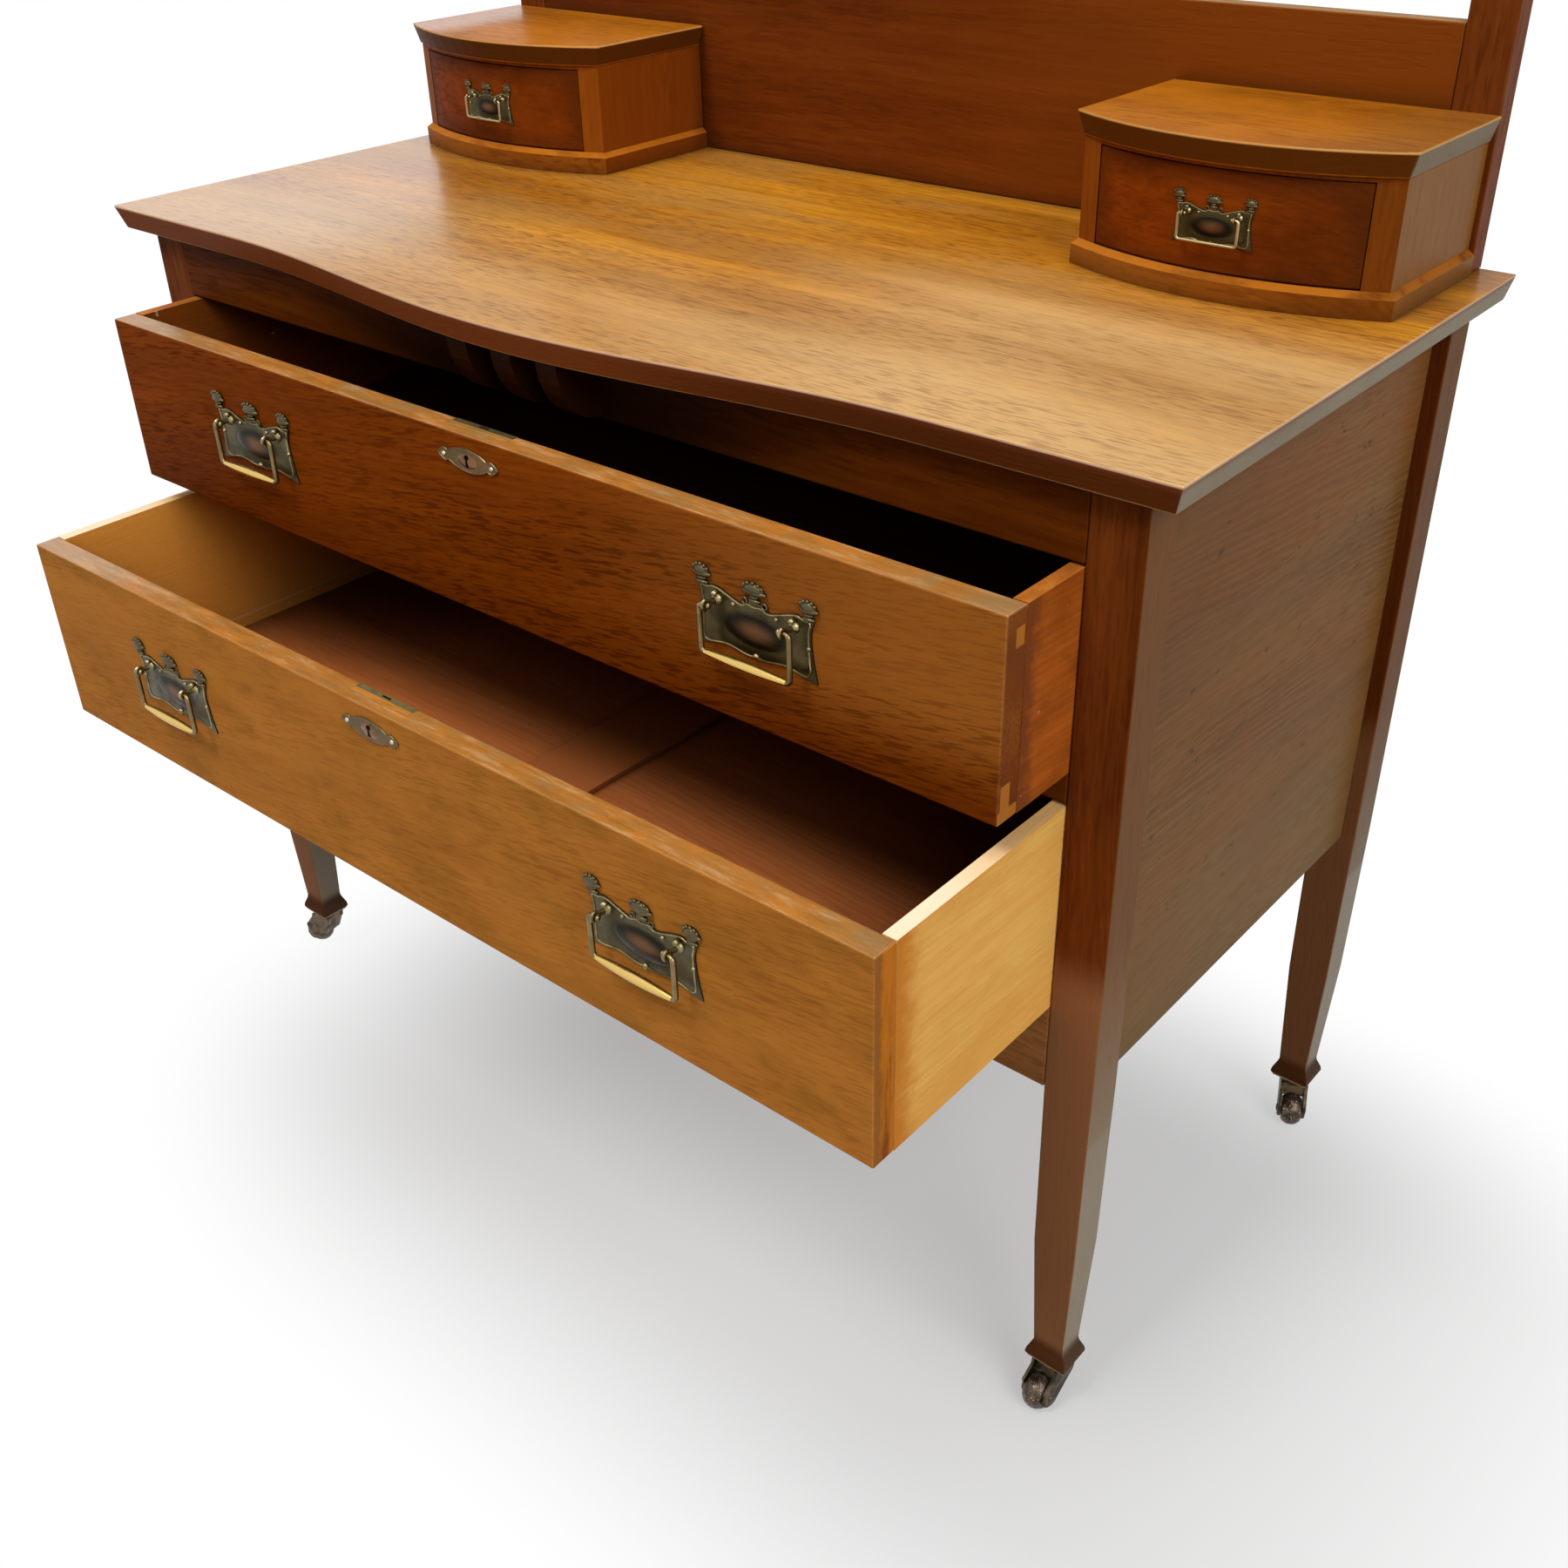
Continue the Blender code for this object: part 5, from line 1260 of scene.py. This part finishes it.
class CHEST_OT_castors(bpy.types.Operator):
    """Make the four castors: hooded forks and worn wheels"""

    bl_idname = "chest.castors"
    bl_label = "Castors"

    ACROSS = Matrix.Rotation(math.radians(90), 4, "X")
    EAR = 0.0085
    CLEARANCE = 0.0013
    PIN_RADIUS = 0.0020
    TREAD_STEPS = 12

    def execute(self, context):
        metals = context.scene.chest_metals
        sizes = context.scene.chest_fittings
        brass = metal("castor_brass", metals.horn, metals.shade, 0.34, 0.7)
        tread = self.tread(metals)
        for corner in CORNERS:
            swivel = Vector(JOINTS[corner + "_castor_swivel"]["pos_m"])
            axle = Vector(JOINTS[corner + "_wheel_spin"]["pos_m"])
            trail = axle - swivel
            reach = math.hypot(trail.x, trail.y)
            turn = Matrix.Rotation(math.atan2(trail.y, trail.x), 4, "Z")
            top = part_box(corner + "_leg")[0].z - SEAT
            casting = Casting()
            self.fork(casting, sizes, reach, axle.z, top)
            under = Matrix.Translation((swivel.x, swivel.y, 0.0))
            add_piece(corner + "_castor_fork", casting, under @ turn, [brass], corner + "_castor",
                      corner + "_castor_horn")
            casting = Casting()
            self.wheel(casting, axle.z)
            add_piece(corner + "_castor_tread", casting, Matrix.Translation(axle) @ turn @ self.ACROSS,
                      [tread], corner + "_wheel", corner + "_castor_wheel")
        return {"FINISHED"}

    def fork(self, casting, sizes, reach, axle, top):
        """A plate under the foot, a hood over the wheel and two broad cheeks that hold the axle."""
        plate = [(0.0001, top - 0.0036), (0.0140, top - 0.0034), (0.0145, top - 0.0015), (0.0142, top),
                 (0.0001, top)]
        casting.turned(plate, steps=28)
        ear = self.EAR
        rest = top - 0.0030
        cheek = [(-0.0120, rest), (-0.0105, rest - 0.0090)]
        for i in range(10):
            turn = math.radians(205 + 20 * i)
            cheek.append((reach + ear * math.cos(turn), axle + ear * math.sin(turn)))
        cheek += [(reach + ear, axle + 0.0100), (0.0135, rest - 0.0070), (0.0120, rest)]
        middle = sum((Vector(point) for point in cheek), Vector((0, 0))) / len(cheek)
        for sign in (-1, 1):
            rings = []
            for depth, inset in ((0.0, 0.0), (sizes.cheek * 0.65, 0.0), (sizes.cheek, 0.0010)):
                ring = [Vector(point) - (Vector(point) - middle).normalized() * inset for point in cheek]
                rings.append([(spot.x, sign * (CHEEK_INNER + depth), spot.y) for spot in ring])
            casting.bands(rings)
            casting.ball((reach, sign * (CHEEK_INNER + sizes.cheek), axle), (0.0040, 0.0014, 0.0040))
        clear = axle + self.CLEARANCE
        hood = [(-0.0118, rest), (-0.0100, rest - 0.0100), (-0.0035, axle + 0.0030)]
        for i in range(9):
            turn = math.radians(172 - 8 * i)
            hood.append((reach + clear * math.cos(turn), axle + clear * math.sin(turn)))
        hood.append((0.0080, rest))
        inner = CHEEK_INNER + 0.0005
        casting.bands([[(x, y, z) for x, z in hood] for y in (-inner, inner)])
        pin = Matrix.Translation((reach, 0, axle)) @ self.ACROSS
        end = CHEEK_INNER + 0.001
        casting.turned([(self.PIN_RADIUS, -end), (self.PIN_RADIUS, end)], pin)

    def wheel(self, casting, radius):
        """A fat round tread with a small hub on each side."""
        half = WHEEL_HALF
        profile = [(0.0026, -half), (0.0060, -half), (0.0066, 0.0006 - half)]
        for i in range(self.TREAD_STEPS + 1):
            across = 2.0 * i / self.TREAD_STEPS - 1.0
            profile.append((radius - 0.0042 * abs(across) ** 2.4, across * (half - 0.0006)))
        profile += [(0.0066, half - 0.0006), (0.0060, half), (0.0026, half)]
        casting.turned(profile, steps=32, closed=True)

    def tread(self, metals):
        """Dull brown with bright flecks."""
        finish = Finish("castor_wheel")
        cloud = finish.noise(finish.spot, 170.0, 4.0, 0.6)
        flecks = finish.noise(finish.spot, 760.0, 1.0).fade(0.66, 0.70)
        colour = finish.mix(cloud.fade(0.35, 0.65), scaled(metals.wheel, 0.30), tuple(metals.wheel))
        colour = finish.mix(flecks * 0.8, colour, scaled(metals.wheel, 6.5, 8.5, 11.0))
        finish.set(base_color=colour, metallic=0.6, roughness=cloud * 0.30 + 0.20,
                   normal=finish.bump(cloud + flecks * 0.4, 0.0006, 0.3))
        return finish


class CHEST_OT_stage(bpy.types.Operator):
    """Lay the floor and set the light and the camera"""

    bl_idname = "chest.stage"
    bl_label = "Stage"

    SENSOR = 36.0
    FLOOR_REACH = 40.0
    AIM = Vector((0.0, 0.0, 0.5))

    def execute(self, context):
        looks = context.scene.chest_stage
        self.floor(context, looks)
        room = Finish("room", bpy.data.worlds.new("room"))
        room.set(color=(1.0, 1.0, 1.0), strength=room.seen() * (1.0 - looks.daylight) + looks.daylight)
        context.scene.world = room.holder
        self.lamp(context, "overhead_lamp", looks.overhead, (-0.3, -0.5, 7.5), 3.4)
        self.lamp(context, "side_lamp", looks.side, (5.5, -2.0, 4.6), 4.0)
        self.lamp(context, "front_lamp", looks.front, (-0.6, -3.6, 6.6), 2.0)
        camera = bpy.data.cameras.new("camera")
        camera.lens = looks.lens
        camera.sensor_width = self.SENSOR
        eye = bpy.data.objects.new("camera", camera)
        eye.location = looks.camera_place
        eye.rotation_euler = Euler(looks.camera_turn)
        context.scene.collection.objects.link(eye)
        context.scene.camera = eye
        context.scene.view_settings.view_transform = "Standard"
        return {"FINISHED"}

    def floor(self, context, looks):
        """White where it is seen, with part of the chest's shadow and a painted shadow round it; greyer
        in the light it returns.
        """
        finish = Finish("floor")
        x, y, z = finish.xyz
        seen = finish.seen()
        colour = finish.mix(seen, tuple(looks.bounce), tuple(looks.floor))
        finish.set(base_color=colour, roughness=1.0, ior_level=0.0)
        # Painted shadow: a soft grey patch round the chest's footprint in the white that is seen.
        beside = (abs(x - 0.21) - 0.30).greater(0.0)
        before = (abs(y) * 1.5 - 0.27).greater(0.0)
        shade_patch = (beside * beside + before * before).root().fade(0.50, 0.0)
        clear = finish.mix(shade_patch * looks.shade, (1.0, 1.0, 1.0), (0.0, 0.0, 0.0))
        white = finish.node("ShaderNodeEmission", values={"Color": clear, "Strength": 1.0})
        share = seen * (1.0 - shade_patch * looks.shadow)
        plain = Link(finish, finish.shader.outputs[0])
        mixed = finish.node("ShaderNodeMixShader", values={0: share, 1: plain, 2: white})
        finish.put(finish.tree.nodes["Material Output"].inputs["Surface"], mixed)
        casting = Casting()
        reach = self.FLOOR_REACH
        casting.block((-reach, -reach, -0.02), (reach, reach, 0.0))
        floor = bpy.data.objects.new("floor", casting.mesh("floor"))
        floor.data.materials.append(finish.holder)
        context.scene.collection.objects.link(floor)

    def lamp(self, context, name, power, place, size):
        lamp = bpy.data.lights.new(name, "AREA")
        lamp.energy = power
        lamp.size = size
        lit = bpy.data.objects.new(name, lamp)
        lit.location = place
        lit.rotation_euler = (self.AIM - Vector(place)).to_track_quat("-Z", "Y").to_euler()
        context.scene.collection.objects.link(lit)


OPERATORS = (CHEST_OT_top, CHEST_OT_case, CHEST_OT_drawers, CHEST_OT_trinket_boxes, CHEST_OT_mirror,
             CHEST_OT_handles, CHEST_OT_bails, CHEST_OT_keyholes, CHEST_OT_locks, CHEST_OT_castors,
             CHEST_OT_stage)


class CHEST_PT_panel(bpy.types.Panel):
    """The steps that dress the chest"""

    bl_idname = "CHEST_PT_panel"
    bl_label = "Dressing Chest"
    bl_space_type = "VIEW_3D"
    bl_region_type = "UI"
    bl_category = "Dressing Chest"

    def draw(self, context):
        for operator in OPERATORS:
            self.layout.operator(operator.bl_idname)


GROUPS = {"chest_woods": ChestWoods, "chest_metals": ChestMetals, "chest_fittings": ChestFittings,
          "chest_stage": ChestStage}


def register():
    for cls in (*GROUPS.values(), *OPERATORS, CHEST_PT_panel):
        bpy.utils.register_class(cls)
    for name, group in GROUPS.items():
        setattr(bpy.types.Scene, name, PointerProperty(type=group))


def unregister():
    for name in GROUPS:
        delattr(bpy.types.Scene, name)
    for cls in (CHEST_PT_panel, *reversed(OPERATORS), *reversed(GROUPS.values())):
        bpy.utils.unregister_class(cls)


def main():
    register()
    for operator in OPERATORS:
        group, name = operator.bl_idname.split(".")
        getattr(getattr(bpy.ops, group), name)()


if __name__ == "__main__":
    main()
